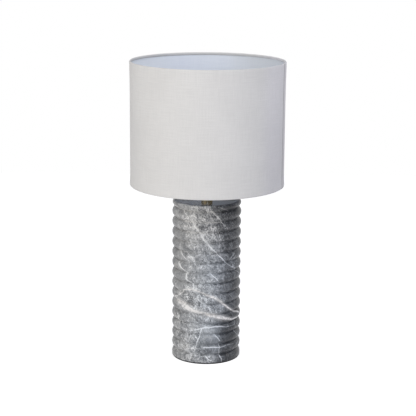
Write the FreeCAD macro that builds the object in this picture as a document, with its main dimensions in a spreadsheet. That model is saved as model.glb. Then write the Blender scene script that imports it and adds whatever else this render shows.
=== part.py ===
import FreeCAD, Part

import math
import os
import types

import Sketcher

# Column table lamp: a ribbed stone column with a drum shade on a short brass neck.
# Millimetres. The origin is the centre of the foot pad's underside, +Z is up, and the
# cord outlet faces +Y, behind the lamp. Every part stands on the same vertical axis.

SIZES = {
    # Foot pad
    "pad_inset": 1.3,
    "pad_thickness": 1.5,
    # Stone column, with half-round ribs turned all the way up
    "column_radius": 67.5,
    "column_height": 315.5,
    "rib_pitch": 20.45,
    "rib_depth": 6.5,
    "rib_land": 0.6,
    "top_rib_height": 13.0,
    "top_edge_radius": 5.0,
    "foot_band_inset": 0.1,
    "column_bore_radius": 7.0,
    "recess_radius": 29.0,
    "recess_depth": 30.0,
    # Cord outlet at the back of the lowest rib
    "outlet_height": 11.0,
    "outlet_hole_radius": 5.2,
    "outlet_seat_radius": 7.6,
    "outlet_seat_depth": 5.0,
    "bush_bore_radius": 3.6,
    "bush_length": 14.0,
    "bush_flange": 2.5,
    # Threaded rod and what it clamps
    "rod_radius": 5.0,
    "rod_bore_radius": 3.5,
    "rod_end_length": 2.0,
    "nut_across_flats": 14.0,
    "nut_height": 4.0,
    "lock_washer_radius": 9.0,
    "lock_washer_thickness": 1.2,
    "lock_washer_split_angle": 352.0,
    "plate_radius": 24.0,
    "plate_thickness": 3.0,
    "column_washer_thickness": 1.5,
    # Brass neck
    "neck_radius": 11.0,
    "neck_wall": 1.2,
    "neck_height": 35.0,
    "collar_radius": 13.0,
    "collar_thickness": 3.0,
    "collar_spigot": 4.0,
    "eased_edge": 1.0,
    # Threads: how much of the pitch a flank and a crest take
    "flank_share": 0.3,
    "crest_share": 0.25,
    # Clearances
    "thread_clearance": 0.1,
    "slip_clearance": 0.2,
    "running_clearance": 0.3,
    # Terminal block in the recess, and the wires
    "pole_pitch": 8.0,
    "block_depth": 14.5,
    "block_height": 13.0,
    "block_front": 11.5,
    "insert_radius": 2.5,
    "insert_bore_radius": 1.5,
    "block_screw_radius": 1.7,
    "block_screw_length": 3.0,
    "block_screw_spacing": 7.0,
    "wire_radius": 1.1,
    "wire_spacing": 1.3,
    "wire_bend": 5.5,
    "wire_tight_bend": 3.3,
    "wire_in_block": 3.0,
    "wire_lead": 1.0,
    "earth_wire_turn": 4.0,
    "earth_screw_x": 16.0,
    "earth_screw_y": 6.0,
    "earth_screw_radius": 1.8,
    "earth_head_radius": 3.2,
    "earth_head_height": 2.4,
    # Lampholder
    "cap_radius": 19.5,
    "cap_boss_radius": 8.0,
    "cap_boss_height": 4.0,
    "cap_dome_height": 11.0,
    "cap_dome_arc": 13.0,
    "cap_floor_height": 5.5,
    "cap_floor_radius": 7.0,
    "cap_inner_radius": 16.4,
    "cap_inner_arc": 11.0,
    "cap_ledge_height": 18.0,
    "cap_rim_height": 8.0,
    "cap_rim_radius": 18.0,
    "grub_screw_radius": 1.5,
    "core_radius": 16.6,
    "core_flange_radius": 17.5,
    "core_flange": 2.0,
    "core_height": 35.5,
    "core_floor": 8.0,
    "terminal_x": 9.0,
    "terminal_width": 6.0,
    "terminal_height": 5.0,
    "terminal_hole_radius": 1.4,
    "rivet_offset": 1.5,
    "terminal_screw_radius": 1.2,
    "terminal_screw_head_radius": 2.2,
    "terminal_screw_head": 2.2,
    "live_rivet_radius": 1.5,
    "neutral_rivet_radius": 0.9,
    "leaf_thickness": 0.6,
    "leaf_width": 5.0,
    "leaf_rise": 2.7,
    "sleeve_radius": 13.9,
    "sleeve_wall": 0.5,
    "sleeve_height": 26.0,
    "sleeve_seat_radius": 11.8,
    "shell_radius": 19.7,
    "shell_height": 31.0,
    "shell_lip": 2.5,
    "shell_mouth_radius": 15.3,
    "shell_thread_depth": 0.8,
    "shell_thread_pitch": 2.5,
    "shell_thread_start": 3.0,
    # Shade rings and the shade's frame
    "ring_height": 8.0,
    "ring_flange": 3.0,
    "ring_radius": 28.5,
    "ring_collar_radius": 24.0,
    "ring_notch_radius": 1.6,
    "ring_notches": 12,
    "hub_radius": 31.0,
    "hub_bore_radius": 21.0,
    "hub_thickness": 2.0,
    "arm_wire_radius": 1.6,
    "arm_root_run": 8.0,
    "arm_end_run": 9.0,
    "arm_bend": 8.0,
    "arm_count": 3,
    "hoop_wire_radius": 1.0,
    # Drum shade
    "shade_gap": 29.5,
    "shade_height": 240.0,
    "shade_radius": 150.0,
    "shade_waist": 0.85,
    "waist_below_top": 75.0,
    "waist_above_foot": 28.0,
    "fabric_thickness": 0.4,
    "lining_thickness": 0.4,
    "glue_line": 0.05,
    "hem_clearance": 0.3,
    "hem_depth": 5.4,
    "lap_angle": 6.0,
    "seam_angle": -15.0,
    # Bulb
    "bulb_length": 105.0,
    "bulb_radius": 30.0,
    "bulb_neck_radius": 13.6,
    "bulb_neck_arc": 30.0,
    "bulb_wall": 0.8,
    "bulb_cap_height": 24.0,
    "bulb_cap_radius": 13.1,
    "bulb_cap_bore_radius": 12.0,
    "bulb_thread_depth": 0.8,
    "bulb_thread_pitch": 3.629,
    "bulb_thread_turns": 5,
    "bulb_tail": 6.0,
    "bulb_insulator_radius": 9.4,
    "bulb_insulator_height": 3.0,
    "bulb_insulator_collar": 1.0,
    "bulb_contact_radius": 4.6,
    "bulb_contact_height": 1.1,
    "stem_radius": 2.2,
    "stem_height": 46.0,
    "filament_radius": 0.9,
    "filament_length": 34.0,
    "filament_count": 4,
}


class Length:
    """A number that keeps the formula it came from: it draws a feature and binds it to the sheet."""

    def __init__(self, value, formula):
        self.value = value
        self.formula = formula

    def __add__(self, other):
        other = as_length(other)
        return Length(self.value + other.value, f"({self.formula} + {other.formula})")

    def __sub__(self, other):
        other = as_length(other)
        return Length(self.value - other.value, f"({self.formula} - {other.formula})")

    def __mul__(self, other):
        other = as_length(other)
        return Length(self.value * other.value, f"({self.formula} * {other.formula})")

    def __truediv__(self, other):
        other = as_length(other)
        return Length(self.value / other.value, f"({self.formula} / {other.formula})")

    def __neg__(self):
        return Length(-self.value, f"(0 - {self.formula})")


def as_length(term):
    if isinstance(term, Length):
        return term
    return Length(float(term), f"({float(term)})")


def square_root(term):
    return Length(math.sqrt(term.value), f"sqrt({term.formula})")


def round_up(term):
    return Length(math.ceil(term.value), f"ceil({term.formula})")


def write_sheet(doc):
    """Puts every size in the sheet and returns them by name."""
    sheet = doc.addObject("Spreadsheet::Sheet", "Sizes")
    sizes = types.SimpleNamespace()
    for row, (name, value) in enumerate(SIZES.items(), start=1):
        sheet.set(f"A{row}", name)
        sheet.set(f"B{row}", str(value))
        sheet.setAlias(f"B{row}", name)
        setattr(sizes, name, Length(float(value), f"Sizes.{name}"))
    doc.recompute()
    return sizes


def bind(thing, path, length):
    thing.setExpression(path, as_length(length).formula)


def new_body(doc, name):
    body = doc.addObject("PartDesign::Body", name)
    body.Label = name
    return body


def origin_feature(body, role):
    return next(item for item in body.Origin.OriginFeatures if item.Role == role)


def new_sketch(body, name, role="XZ_Plane", offset=None):
    """A sketch on one of the body's own planes, or at an offset along that plane's normal."""
    sketch = body.newObject("Sketcher::SketchObject", name)
    sketch.AttachmentSupport = [(origin_feature(body, role), "")]
    sketch.MapMode = "FlatFace"
    if offset is not None:
        sketch.AttachmentOffset.Base.z = offset.value
        bind(sketch, "AttachmentOffset.Base.z", offset)
    return sketch


def constrain(sketch, kind, *terms, length=None):
    if length is None:
        sketch.addConstraint(Sketcher.Constraint(kind, *terms))
        return
    index = sketch.addConstraint(Sketcher.Constraint(kind, *terms, length.value))
    bind(sketch, f"Constraints[{index}]", length)


def place_point(sketch, shape, point, x, y):
    """Fixes a point of the sketch by its distances from the sketch's origin."""
    for kind, axis, distance in (("DistanceX", -2, as_length(x)), ("DistanceY", -1, as_length(y))):
        if distance.formula == "(0.0)":
            constrain(sketch, "PointOnObject", shape, point, axis)
        else:
            constrain(sketch, kind, -1, 1, shape, point, length=distance)


def draw_run(sketch, start, end, radius):
    """Draws a line, or the short arc of a signed radius that turns left where it is positive."""
    if radius is None:
        return sketch.addGeometry(Part.LineSegment(start, end), False), 1, 2
    chord = end - start
    left = FreeCAD.Vector(-chord.y, chord.x) / chord.Length
    rise = math.sqrt(max(radius.value**2 - chord.Length**2 / 4, 0.0))
    centre = (start + end) / 2 + left * math.copysign(rise, radius.value)
    circle = Part.Circle(centre, FreeCAD.Vector(0, 0, 1), abs(radius.value))
    angles = [math.atan2(point.y - centre.y, point.x - centre.x) for point in (start, end)]
    turns_left = radius.value > 0
    arc = Part.ArcOfCircle(circle, *(angles if turns_left else reversed(angles)))
    index = sketch.addGeometry(arc, False)
    constrain(sketch, "Radius", index, length=radius if turns_left else -radius)
    return (index, 1, 2) if turns_left else (index, 2, 1)


def draw_outline(sketch, corners, closed=True):
    """Joins the corners. A corner is (x, y), or (x, y, radius) where an arc leaves it."""
    following = corners[1:] + corners[:1] if closed else corners[1:]
    runs = []
    for corner, target in zip(corners, following):
        start = FreeCAD.Vector(as_length(corner[0]).value, as_length(corner[1]).value)
        end = FreeCAD.Vector(as_length(target[0]).value, as_length(target[1]).value)
        runs.append(draw_run(sketch, start, end, corner[2] if len(corner) == 3 else None))
    for run, follower in zip(runs, runs[1:] + runs[:1] if closed else runs[1:]):
        constrain(sketch, "Coincident", run[0], run[2], follower[0], follower[1])
    for run, corner in zip(runs, corners):
        place_point(sketch, run[0], run[1], corner[0], corner[1])
    if not closed:
        place_point(sketch, runs[-1][0], runs[-1][2], corners[-1][0], corners[-1][1])


def draw_circle(sketch, x, y, radius):
    centre = FreeCAD.Vector(as_length(x).value, as_length(y).value)
    index = sketch.addGeometry(Part.Circle(centre, FreeCAD.Vector(0, 0, 1), radius.value), False)
    constrain(sketch, "Radius", index, length=radius)
    place_point(sketch, index, 3, x, y)


def turn(body, name, corners, cut=False, angle=None):
    """Turns an outline of (radius, height) corners about the vertical axis, to add or to cut."""
    sketch = new_sketch(body, f"{name}_outline")
    draw_outline(sketch, corners)
    feature = body.newObject("PartDesign::Groove" if cut else "PartDesign::Revolution", name)
    feature.Profile = sketch
    feature.ReferenceAxis = (sketch, ["V_Axis"])
    feature.Angle = 360
    if angle is not None:
        bind(feature, "Angle", angle)
    return feature


def extrude(body, name, sketch, length, cut=False, reverse=False, symmetric=False):
    feature = body.newObject("PartDesign::Pocket" if cut else "PartDesign::Pad", name)
    feature.Profile = sketch
    feature.Length = length.value
    bind(feature, "Length", length)
    feature.Reversed = reverse
    if symmetric:
        feature.SideType = "Symmetric"
    return feature


def repeat_around(body, name, feature, count):
    """Repeats a feature evenly about the vertical axis."""
    pattern = body.newObject("PartDesign::PolarPattern", name)
    pattern.Originals = [feature]
    pattern.Axis = (origin_feature(body, "Z_Axis"), [""])
    pattern.Angle = 360
    bind(pattern, "Occurrences", count)
    body.Tip = pattern
    return pattern


def turned_part(doc, name, corners, angle=None):
    body = new_body(doc, name)
    turn(body, f"{name}_turning", corners, angle=angle)
    return body


def ring_part(doc, name, inner, outer, low, high, angle=None):
    """A plain ring or, with an inner radius of 0, a disc."""
    return turned_part(doc, name, [(inner, low), (outer, low), (outer, high), (inner, high)], angle)


def thread_corners(size, crest, depth, start, pitch, turns):
    """The outside of a thread, upwards, drawn as one ridge for each turn."""
    flank = pitch * size.flank_share
    flat = pitch * size.crest_share
    corners = []
    for index in range(turns):
        low = start + pitch * index
        corners.append((crest - depth, low))
        corners.append((crest, low + flank))
        corners.append((crest, low + flank + flat))
        corners.append((crest - depth, low + flank + flat + flank))
    return corners


def hex_nut(doc, name, size, low):
    body = new_body(doc, name)
    sketch = new_sketch(body, f"{name}_outline", "XY_Plane", low)
    corner_radius = size.nut_across_flats / math.sqrt(3)
    corners = []
    for index in range(6):
        angle = math.radians(60 * index + 30)
        corners.append((corner_radius * round(math.cos(angle), 9), corner_radius * math.sin(angle)))
    draw_outline(sketch, corners)
    draw_circle(sketch, 0, 0, size.rod_radius + size.thread_clearance)
    extrude(body, f"{name}_body", sketch, size.nut_height)
    return body


def heights(size):
    """The levels that more than one part meets, from the floor up."""
    level = types.SimpleNamespace()
    level.foot = size.pad_thickness
    level.top = level.foot + size.column_height
    level.recess = level.foot + size.recess_depth
    level.plate = level.recess - size.plate_thickness
    level.base_nut = level.plate - size.lock_washer_thickness - size.nut_height
    level.rod_foot = level.base_nut - size.rod_end_length
    level.outlet = level.foot + size.outlet_height
    level.neck = level.top + size.neck_height
    level.cap = level.neck + size.collar_thickness
    level.rod_top = level.cap + size.cap_floor_height + size.rod_end_length
    level.ledge = level.cap + size.cap_ledge_height
    level.cap_rim = level.ledge + size.cap_rim_height
    level.core_floor = level.ledge + size.core_floor
    level.shell = level.cap_rim + size.shell_height
    level.hub = level.cap_rim + size.shell_thread_start + size.ring_height
    level.upper_ring = level.hub + size.hub_thickness
    level.bulb = level.core_floor + size.leaf_rise + size.running_clearance
    level.bulb_centre = level.bulb + size.bulb_length - size.bulb_radius
    level.shade_foot = level.top + size.shade_gap
    level.shade_top = level.shade_foot + size.shade_height
    return level


def stone_column(doc, size, level):
    body = new_body(doc, "stone_column")
    core_radius = size.column_radius - size.rib_depth
    half_rib = (size.rib_pitch - size.rib_land) / 2
    rib_arc = (half_rib * half_rib + size.rib_depth * size.rib_depth) / (size.rib_depth * 2)
    rib_centre = level.top - size.top_rib_height + size.rib_pitch / 2
    outside = size.column_radius + size.rib_pitch
    core = [(0, level.foot), (core_radius, level.foot), (core_radius, level.top), (0, level.top)]
    turn(body, "column_core", core)
    rib = turn(
        body,
        "column_rib",
        [
            (core_radius - size.rib_land, rib_centre - half_rib),
            (core_radius, rib_centre - half_rib, rib_arc),
            (core_radius, rib_centre + half_rib),
            (core_radius - size.rib_land, rib_centre + half_rib),
        ],
    )
    ribs = body.newObject("PartDesign::LinearPattern", "column_ribs")
    ribs.Originals = [rib]
    ribs.Direction = (origin_feature(body, "Z_Axis"), [""])
    ribs.Reversed = True
    ribs.Mode = "Spacing"
    bind(ribs, "Offset", size.rib_pitch)
    whole_ribs = round_up((size.column_height - size.top_rib_height) / size.rib_pitch)
    bind(ribs, "Occurrences", whole_ribs + 1)
    body.Tip = ribs
    # Below its widest line the lowest rib goes straight down.
    above = level.top + size.rib_pitch
    below = level.foot - size.rib_pitch
    band = size.column_radius - size.foot_band_inset
    inside = core_radius - size.rib_land
    widest = rib_centre - size.rib_pitch * whole_ribs
    turn(body, "foot_band", [(inside, below), (band, below), (band, widest), (inside, widest)])
    # The end ribs are cut square by facing the column to its length.
    turn(body, "top_facing", [(0, level.top), (outside, level.top), (outside, above), (0, above)], cut=True)
    under_foot = [(0, below), (outside, below), (outside, level.foot), (0, level.foot)]
    turn(body, "foot_facing", under_foot, cut=True)
    turn(
        body,
        "bore_and_recess",
        [
            (0, level.foot),
            (size.recess_radius, level.foot),
            (size.recess_radius, level.recess),
            (size.column_bore_radius, level.recess),
            (size.column_bore_radius, level.top),
            (0, level.top),
        ],
        cut=True,
    )
    hole = new_sketch(body, "outlet_hole_outline")
    draw_circle(hole, 0, level.outlet, size.outlet_hole_radius)
    extrude(body, "outlet_hole", hole, outside, cut=True)
    seat = new_sketch(body, "outlet_seat_outline", "XZ_Plane", size.outlet_seat_depth - size.column_radius)
    draw_circle(seat, 0, level.outlet, size.outlet_seat_radius)
    pocket = extrude(body, "outlet_seat", seat, outside, cut=True)
    doc.recompute()
    rounding = body.newObject("PartDesign::Fillet", "top_edge")
    rounding.Base = (pocket, [top_edge_name(pocket.Shape, level.top.value, size.column_bore_radius.value)])
    rounding.Radius = size.top_edge_radius.value
    bind(rounding, "Radius", size.top_edge_radius)
    return body


def top_edge_name(shape, height, bore_radius):
    """The name of the round edge at a height that isn't the bore's."""
    for index, edge in enumerate(shape.Edges, start=1):
        curve = edge.Curve
        level = isinstance(curve, Part.Circle) and math.isclose(curve.Center.z, height)
        if level and curve.Radius > bore_radius and not math.isclose(curve.Radius, bore_radius):
            return f"Edge{index}"
    raise ValueError("the column has no top edge")


def outlet_bush(doc, size, level):
    """Drawn upwards with the flange on top, then laid over so that it points out of the back."""
    inside = size.bush_flange - size.bush_length
    body = turned_part(
        doc,
        "cord_outlet_bush",
        [
            (size.bush_bore_radius, inside),
            (size.outlet_hole_radius - size.slip_clearance, inside),
            (size.outlet_hole_radius - size.slip_clearance, 0),
            (size.outlet_seat_radius - size.running_clearance, 0),
            (size.outlet_seat_radius - size.running_clearance, size.bush_flange / 2, size.bush_flange / 2),
            (size.outlet_seat_radius - size.running_clearance - size.bush_flange / 2, size.bush_flange),
            (size.bush_bore_radius, size.bush_flange),
        ],
    )
    body.Placement.Rotation = FreeCAD.Rotation(FreeCAD.Vector(1, 0, 0), -90)
    bind(body, "Placement.Base.y", size.column_radius - size.outlet_seat_depth)
    bind(body, "Placement.Base.z", level.outlet)
    return body


def base_parts(doc, size, level):
    """Foot pad, clamping plate, lock washer, nut and cord outlet."""
    rod_hole = size.rod_radius + size.thread_clearance
    ring_part(doc, "foot_pad", 0, size.column_radius - size.pad_inset, 0, level.foot)
    stone_column(doc, size, level)
    plate = new_body(doc, "clamp_plate")
    sketch = new_sketch(plate, "clamp_plate_outline", "XY_Plane", level.plate)
    draw_circle(sketch, 0, 0, size.plate_radius)
    draw_circle(sketch, 0, 0, rod_hole)
    screw_hole = size.earth_screw_radius + size.thread_clearance
    draw_circle(sketch, size.earth_screw_x, -size.earth_screw_y, screw_hole)
    extrude(plate, "clamp_plate_body", sketch, size.plate_thickness)
    washer_foot = level.plate - size.lock_washer_thickness
    split = size.lock_washer_split_angle
    ring_part(doc, "lock_washer", rod_hole, size.lock_washer_radius, washer_foot, level.plate, split)
    hex_nut(doc, "base_nut", size, level.base_nut)
    earth_screw = turned_part(
        doc,
        "earth_screw",
        [
            (0, level.plate - size.earth_head_height),
            (size.earth_head_radius, level.plate - size.earth_head_height),
            (size.earth_head_radius, level.plate),
            (size.earth_screw_radius, level.plate),
            (size.earth_screw_radius, level.recess),
            (0, level.recess),
        ],
    )
    bind(earth_screw, "Placement.Base.x", size.earth_screw_x)
    bind(earth_screw, "Placement.Base.y", -size.earth_screw_y)
    outlet_bush(doc, size, level)


def terminal_block(doc, size, level):
    """A three-pole screw connector that lies on the foot pad, behind the rod."""
    pole_height = level.foot + size.block_height / 2
    screw_foot = pole_height + size.insert_radius
    positions = [size.pole_pitch * index for index in (-1, 0, 1)]
    half_width = size.pole_pitch * 1.5
    block = new_body(doc, "terminal_block")
    outline = new_sketch(block, "block_outline", "XZ_Plane", -size.block_front)
    corners = [(-half_width, level.foot), (half_width, level.foot)]
    corners += [(half_width, level.foot + size.block_height), (-half_width, level.foot + size.block_height)]
    draw_outline(outline, corners)
    for x in positions:
        draw_circle(outline, x, pole_height, size.insert_radius + size.slip_clearance)
    extrude(block, "block_body", outline, size.block_depth, reverse=True)
    wells = new_sketch(block, "screw_wells_outline", "XY_Plane", pole_height)
    inserts = new_body(doc, "block_inserts")
    tubes = new_sketch(inserts, "inserts_outline", "XZ_Plane", -size.block_front)
    screws = new_body(doc, "block_screws")
    studs = new_sketch(screws, "screws_outline", "XY_Plane", screw_foot)
    middle = size.block_front + size.block_depth / 2
    for x in positions:
        draw_circle(tubes, x, pole_height, size.insert_radius)
        draw_circle(tubes, x, pole_height, size.insert_bore_radius)
        for side in (-0.5, 0.5):
            y = middle + size.block_screw_spacing * side
            draw_circle(wells, x, y, size.block_screw_radius + size.slip_clearance)
            draw_circle(studs, x, y, size.block_screw_radius)
    extrude(block, "screw_wells", wells, size.block_height, cut=True, reverse=True)
    extrude(inserts, "inserts_body", tubes, size.block_depth, reverse=True)
    extrude(screws, "screws_body", studs, size.block_screw_length)


def bent_wire(doc, name, radius, points, bend_radii):
    """A round wire along straight runs joined by tangent arcs, one bend radius for each inner point."""
    vectors = [FreeCAD.Vector(*(as_length(term).value for term in point)) for point in points]
    edges = []
    start = vectors[0]
    for before, corner, after, bend in zip(vectors, vectors[1:], vectors[2:], bend_radii):
        inward = (before - corner).normalize()
        outward = (after - corner).normalize()
        half_turn = (math.pi - inward.getAngle(outward)) / 2
        setback = bend.value * math.tan(half_turn)
        bisector = (inward + outward).normalize()
        middle = corner + bisector * (bend.value / math.cos(half_turn) - bend.value)
        first = corner + inward * setback
        last = corner + outward * setback
        edges.append(Part.LineSegment(start, first).toShape())
        edges.append(Part.Arc(first, middle, last).toShape())
        start = last
    edges.append(Part.LineSegment(start, vectors[-1]).toShape())
    path = Part.Wire(edges)
    profile = Part.Wire([Part.Circle(vectors[0], vectors[1] - vectors[0], radius.value).toShape()])
    wire = doc.addObject("Part::Feature", name)
    wire.Label = name
    wire.Shape = path.makePipeShell([profile], True, False)
    expected = math.pi * radius.value**2 * path.Length
    print(f"{name}: volume {wire.Shape.Volume:.1f}, section times length {expected:.1f}")
    return wire


def wires(doc, size, level):
    """Live and neutral from the terminal block up through the rod, and earth to the clamping plate."""
    pole_height = level.foot + size.block_height / 2
    inside_block = size.block_front + size.wire_in_block
    block_exit = size.block_front - size.wire_lead
    terminal_foot = level.ledge - size.terminal_height
    under_core = terminal_foot - size.wire_radius - size.wire_lead
    bends = [size.wire_bend, size.wire_bend, size.wire_tight_bend, size.wire_tight_bend]
    poles = (("live_wire", -1, -1), ("neutral_wire", 1, 0))
    for name, side, pole in poles:
        in_rod = size.wire_spacing * side
        at_terminal = size.terminal_x * side
        points = [
            (size.pole_pitch * pole, inside_block, pole_height),
            (size.pole_pitch * pole, block_exit, pole_height),
            (in_rod, 0, pole_height),
            (in_rod, 0, level.rod_top + size.wire_lead),
            (at_terminal, 0, under_core),
            (at_terminal, 0, level.ledge - size.wire_lead),
        ]
        bent_wire(doc, name, size.wire_radius, points, bends)
    beside_screw = size.earth_screw_y + size.earth_head_radius + size.wire_radius + size.running_clearance
    points = [
        (size.pole_pitch, inside_block, pole_height),
        (size.pole_pitch, block_exit, pole_height),
        (size.earth_screw_x, size.earth_wire_turn, pole_height),
        (size.earth_screw_x, -beside_screw, pole_height),
        (size.earth_screw_x, -beside_screw, level.plate),
    ]
    bent_wire(doc, "earth_wire", size.wire_radius, points, [size.wire_bend] * 3)


def neck_parts(doc, size, level):
    """The rod, what clamps it to the column's top, and the brass neck round them."""
    rod_hole = size.rod_radius + size.thread_clearance
    neck_bore = size.neck_radius - size.neck_wall
    spigot = neck_bore - size.slip_clearance
    washer_top = level.top + size.column_washer_thickness
    ring_part(doc, "threaded_rod", size.rod_bore_radius, size.rod_radius, level.rod_foot, level.rod_top)
    ring_part(doc, "column_washer", rod_hole, spigot, level.top, washer_top)
    hex_nut(doc, "column_nut", size, washer_top)
    ring_part(doc, "neck_tube", neck_bore, size.neck_radius, level.top, level.neck)
    turned_part(
        doc,
        "neck_collar",
        [
            (rod_hole, level.neck - size.collar_spigot),
            (spigot, level.neck - size.collar_spigot),
            (spigot, level.neck),
            (size.collar_radius, level.neck),
            (size.collar_radius, level.cap - size.eased_edge, size.eased_edge),
            (size.collar_radius - size.eased_edge, level.cap),
            (rod_hole, level.cap),
        ],
    )


def holder_cap(doc, size, level):
    rod_hole = size.rod_radius + size.thread_clearance
    body = turned_part(
        doc,
        "holder_cap",
        [
            (rod_hole, level.cap),
            (size.cap_boss_radius, level.cap),
            (size.cap_boss_radius, level.cap + size.cap_boss_height, size.cap_dome_arc),
            (size.cap_radius, level.cap + size.cap_dome_height),
            (size.cap_radius, level.cap_rim),
            (size.cap_rim_radius, level.cap_rim),
            (size.cap_rim_radius, level.ledge),
            (size.cap_inner_radius, level.ledge),
            (size.cap_inner_radius, level.cap + size.cap_dome_height, -size.cap_inner_arc),
            (size.cap_floor_radius, level.cap + size.cap_floor_height),
            (rod_hole, level.cap + size.cap_floor_height),
        ],
    )
    screw_height = level.cap + size.cap_boss_height / 2
    hole = new_sketch(body, "grub_hole_outline")
    draw_circle(hole, 0, screw_height, size.grub_screw_radius + size.thread_clearance)
    extrude(body, "grub_hole", hole, size.cap_radius, cut=True)
    screw = new_body(doc, "cap_grub_screw")
    sketch = new_sketch(screw, "grub_screw_outline", "XZ_Plane", -(size.rod_radius + size.thread_clearance))
    draw_circle(sketch, 0, screw_height, size.grub_screw_radius)
    extrude(screw, "grub_screw_body", sketch, size.cap_boss_radius - size.rod_radius, reverse=True)


def terminal(doc, name, size, level, side, rivet_x, rivet_radius):
    """A brass block under the core, with a wire hole, a screw hole and a rivet up through the core."""
    body = new_body(doc, name)
    foot = level.ledge - size.terminal_height
    middle = level.ledge - size.terminal_height / 2
    half = size.terminal_width / 2
    low_x = size.terminal_x * side - half
    high_x = size.terminal_x * side + half
    outline = new_sketch(body, f"{name}_outline", "XY_Plane", foot)
    draw_outline(outline, [(low_x, -half), (high_x, -half), (high_x, half), (low_x, half)])
    draw_circle(outline, size.terminal_x * side, 0, size.terminal_hole_radius)
    extrude(body, f"{name}_block", outline, size.terminal_height)
    rivet = new_sketch(body, f"{name}_rivet_outline", "XY_Plane", middle)
    draw_circle(rivet, rivet_x, size.rivet_offset + rivet_radius, rivet_radius)
    extrude(body, f"{name}_rivet", rivet, level.core_floor - middle)
    screw_hole = new_sketch(body, f"{name}_screw_hole_outline")
    hole_radius = size.terminal_screw_radius + size.thread_clearance
    draw_circle(screw_hole, size.terminal_x * side, middle, hole_radius)
    extrude(body, f"{name}_screw_hole", screw_hole, size.terminal_width, cut=True, reverse=True)
    screw = turned_part(
        doc,
        f"{name}_screw",
        [
            (0, -half),
            (size.terminal_screw_radius, -half),
            (size.terminal_screw_radius, 0),
            (size.terminal_screw_head_radius, 0),
            (size.terminal_screw_head_radius, size.terminal_screw_head),
            (0, size.terminal_screw_head),
        ],
    )
    screw.Placement.Rotation = FreeCAD.Rotation(FreeCAD.Vector(1, 0, 0), 90)
    bind(screw, "Placement.Base.x", size.terminal_x * side)
    bind(screw, "Placement.Base.y", -(half + size.wire_radius + size.running_clearance))
    bind(screw, "Placement.Base.z", middle)


def holder_core(doc, size, level):
    """The porcelain cup, its two terminals, the centre contact leaf and the threaded sleeve."""
    top = level.ledge + size.core_height
    bore = size.sleeve_radius + size.running_clearance
    sleeve_bore = size.sleeve_radius - size.sleeve_wall
    sleeve_top = level.core_floor + size.sleeve_height
    neutral_x = (size.sleeve_seat_radius + size.sleeve_radius) / 2
    core = turned_part(
        doc,
        "holder_core",
        [
            (0, level.ledge),
            (size.core_flange_radius, level.ledge),
            (size.core_flange_radius, level.ledge + size.core_flange),
            (size.core_radius, level.ledge + size.core_flange),
            (size.core_radius, top),
            (bore, top),
            (bore, level.core_floor),
            (0, level.core_floor),
        ],
    )
    rivet_holes = new_sketch(core, "rivet_holes_outline", "XY_Plane", level.core_floor)
    rivets = ((-size.terminal_x, size.live_rivet_radius), (neutral_x, size.neutral_rivet_radius))
    for x, radius in rivets:
        draw_circle(rivet_holes, x, size.rivet_offset + radius, radius + size.slip_clearance)
    extrude(core, "rivet_holes", rivet_holes, size.core_height, cut=True)
    terminal(doc, "live_terminal", size, level, -1, *rivets[0])
    terminal(doc, "neutral_terminal", size, level, 1, *rivets[1])
    turned_part(
        doc,
        "thread_sleeve",
        [
            (size.sleeve_seat_radius, level.core_floor),
            (size.sleeve_radius, level.core_floor),
            (size.sleeve_radius, sleeve_top),
            (sleeve_bore, sleeve_top),
            (sleeve_bore, level.core_floor + size.sleeve_wall),
            (size.sleeve_seat_radius, level.core_floor + size.sleeve_wall),
        ],
    )
    leaf = new_body(doc, "centre_contact")
    sketch = new_sketch(leaf, "centre_contact_outline")
    root = -(size.terminal_x + size.live_rivet_radius)
    knee = -size.bulb_contact_radius
    toe = size.bulb_contact_radius / 2
    raised = level.core_floor + size.leaf_rise
    draw_outline(
        sketch,
        [
            (root, level.core_floor),
            (knee, level.core_floor),
            (-toe, raised - size.leaf_thickness),
            (toe, raised - size.leaf_thickness),
            (toe, raised),
            (-toe - size.leaf_thickness / 2, raised),
            (knee - size.leaf_thickness / 2, level.core_floor + size.leaf_thickness),
            (root, level.core_floor + size.leaf_thickness),
        ],
    )
    extrude(leaf, "centre_contact_body", sketch, size.leaf_width, symmetric=True)


def holder_shell(doc, size, level):
    """The outer shell, threaded outside for the two shade rings."""
    foot = level.ledge + size.core_flange
    bore = size.core_radius + size.running_clearance
    spigot = size.cap_rim_radius - size.slip_clearance
    start = level.cap_rim + size.shell_thread_start
    room = SIZES["shell_height"] - 2 * SIZES["shell_thread_start"]
    turns = int(room / SIZES["shell_thread_pitch"])
    root = size.shell_radius - size.shell_thread_depth
    radius = size.shell_radius
    turned_part(
        doc,
        "holder_shell",
        [(bore, foot), (spigot, foot), (spigot, level.cap_rim), (root, level.cap_rim)]
        + thread_corners(size, radius, size.shell_thread_depth, start, size.shell_thread_pitch, turns)
        + [
            (root, level.shell - size.eased_edge),
            (root - size.eased_edge, level.shell),
            (size.shell_mouth_radius, level.shell),
            (size.shell_mouth_radius, level.shell - size.shell_lip),
            (bore, level.shell - size.shell_lip),
        ],
    )


def shade_ring(doc, name, size, clamped_face, direction):
    """A ring on the shell's thread: its flange, with finger notches, lies against the shade's hub."""
    bore = size.shell_radius + size.running_clearance
    flange = clamped_face + size.ring_flange * direction
    end = clamped_face + size.ring_height * direction
    corners = [
        (bore, clamped_face),
        (size.ring_radius, clamped_face),
        (size.ring_radius, flange),
        (size.ring_collar_radius, flange),
        (size.ring_collar_radius, end),
        (bore, end),
    ]
    body = turned_part(doc, name, corners)
    sketch = new_sketch(body, f"{name}_notch_outline", "XY_Plane", clamped_face)
    draw_circle(sketch, size.ring_radius, 0, size.ring_notch_radius)
    notch = extrude(body, f"{name}_notch", sketch, size.ring_flange, cut=True, reverse=direction > 0)
    repeat_around(body, f"{name}_notches", notch, size.ring_notches)
    return body


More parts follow.
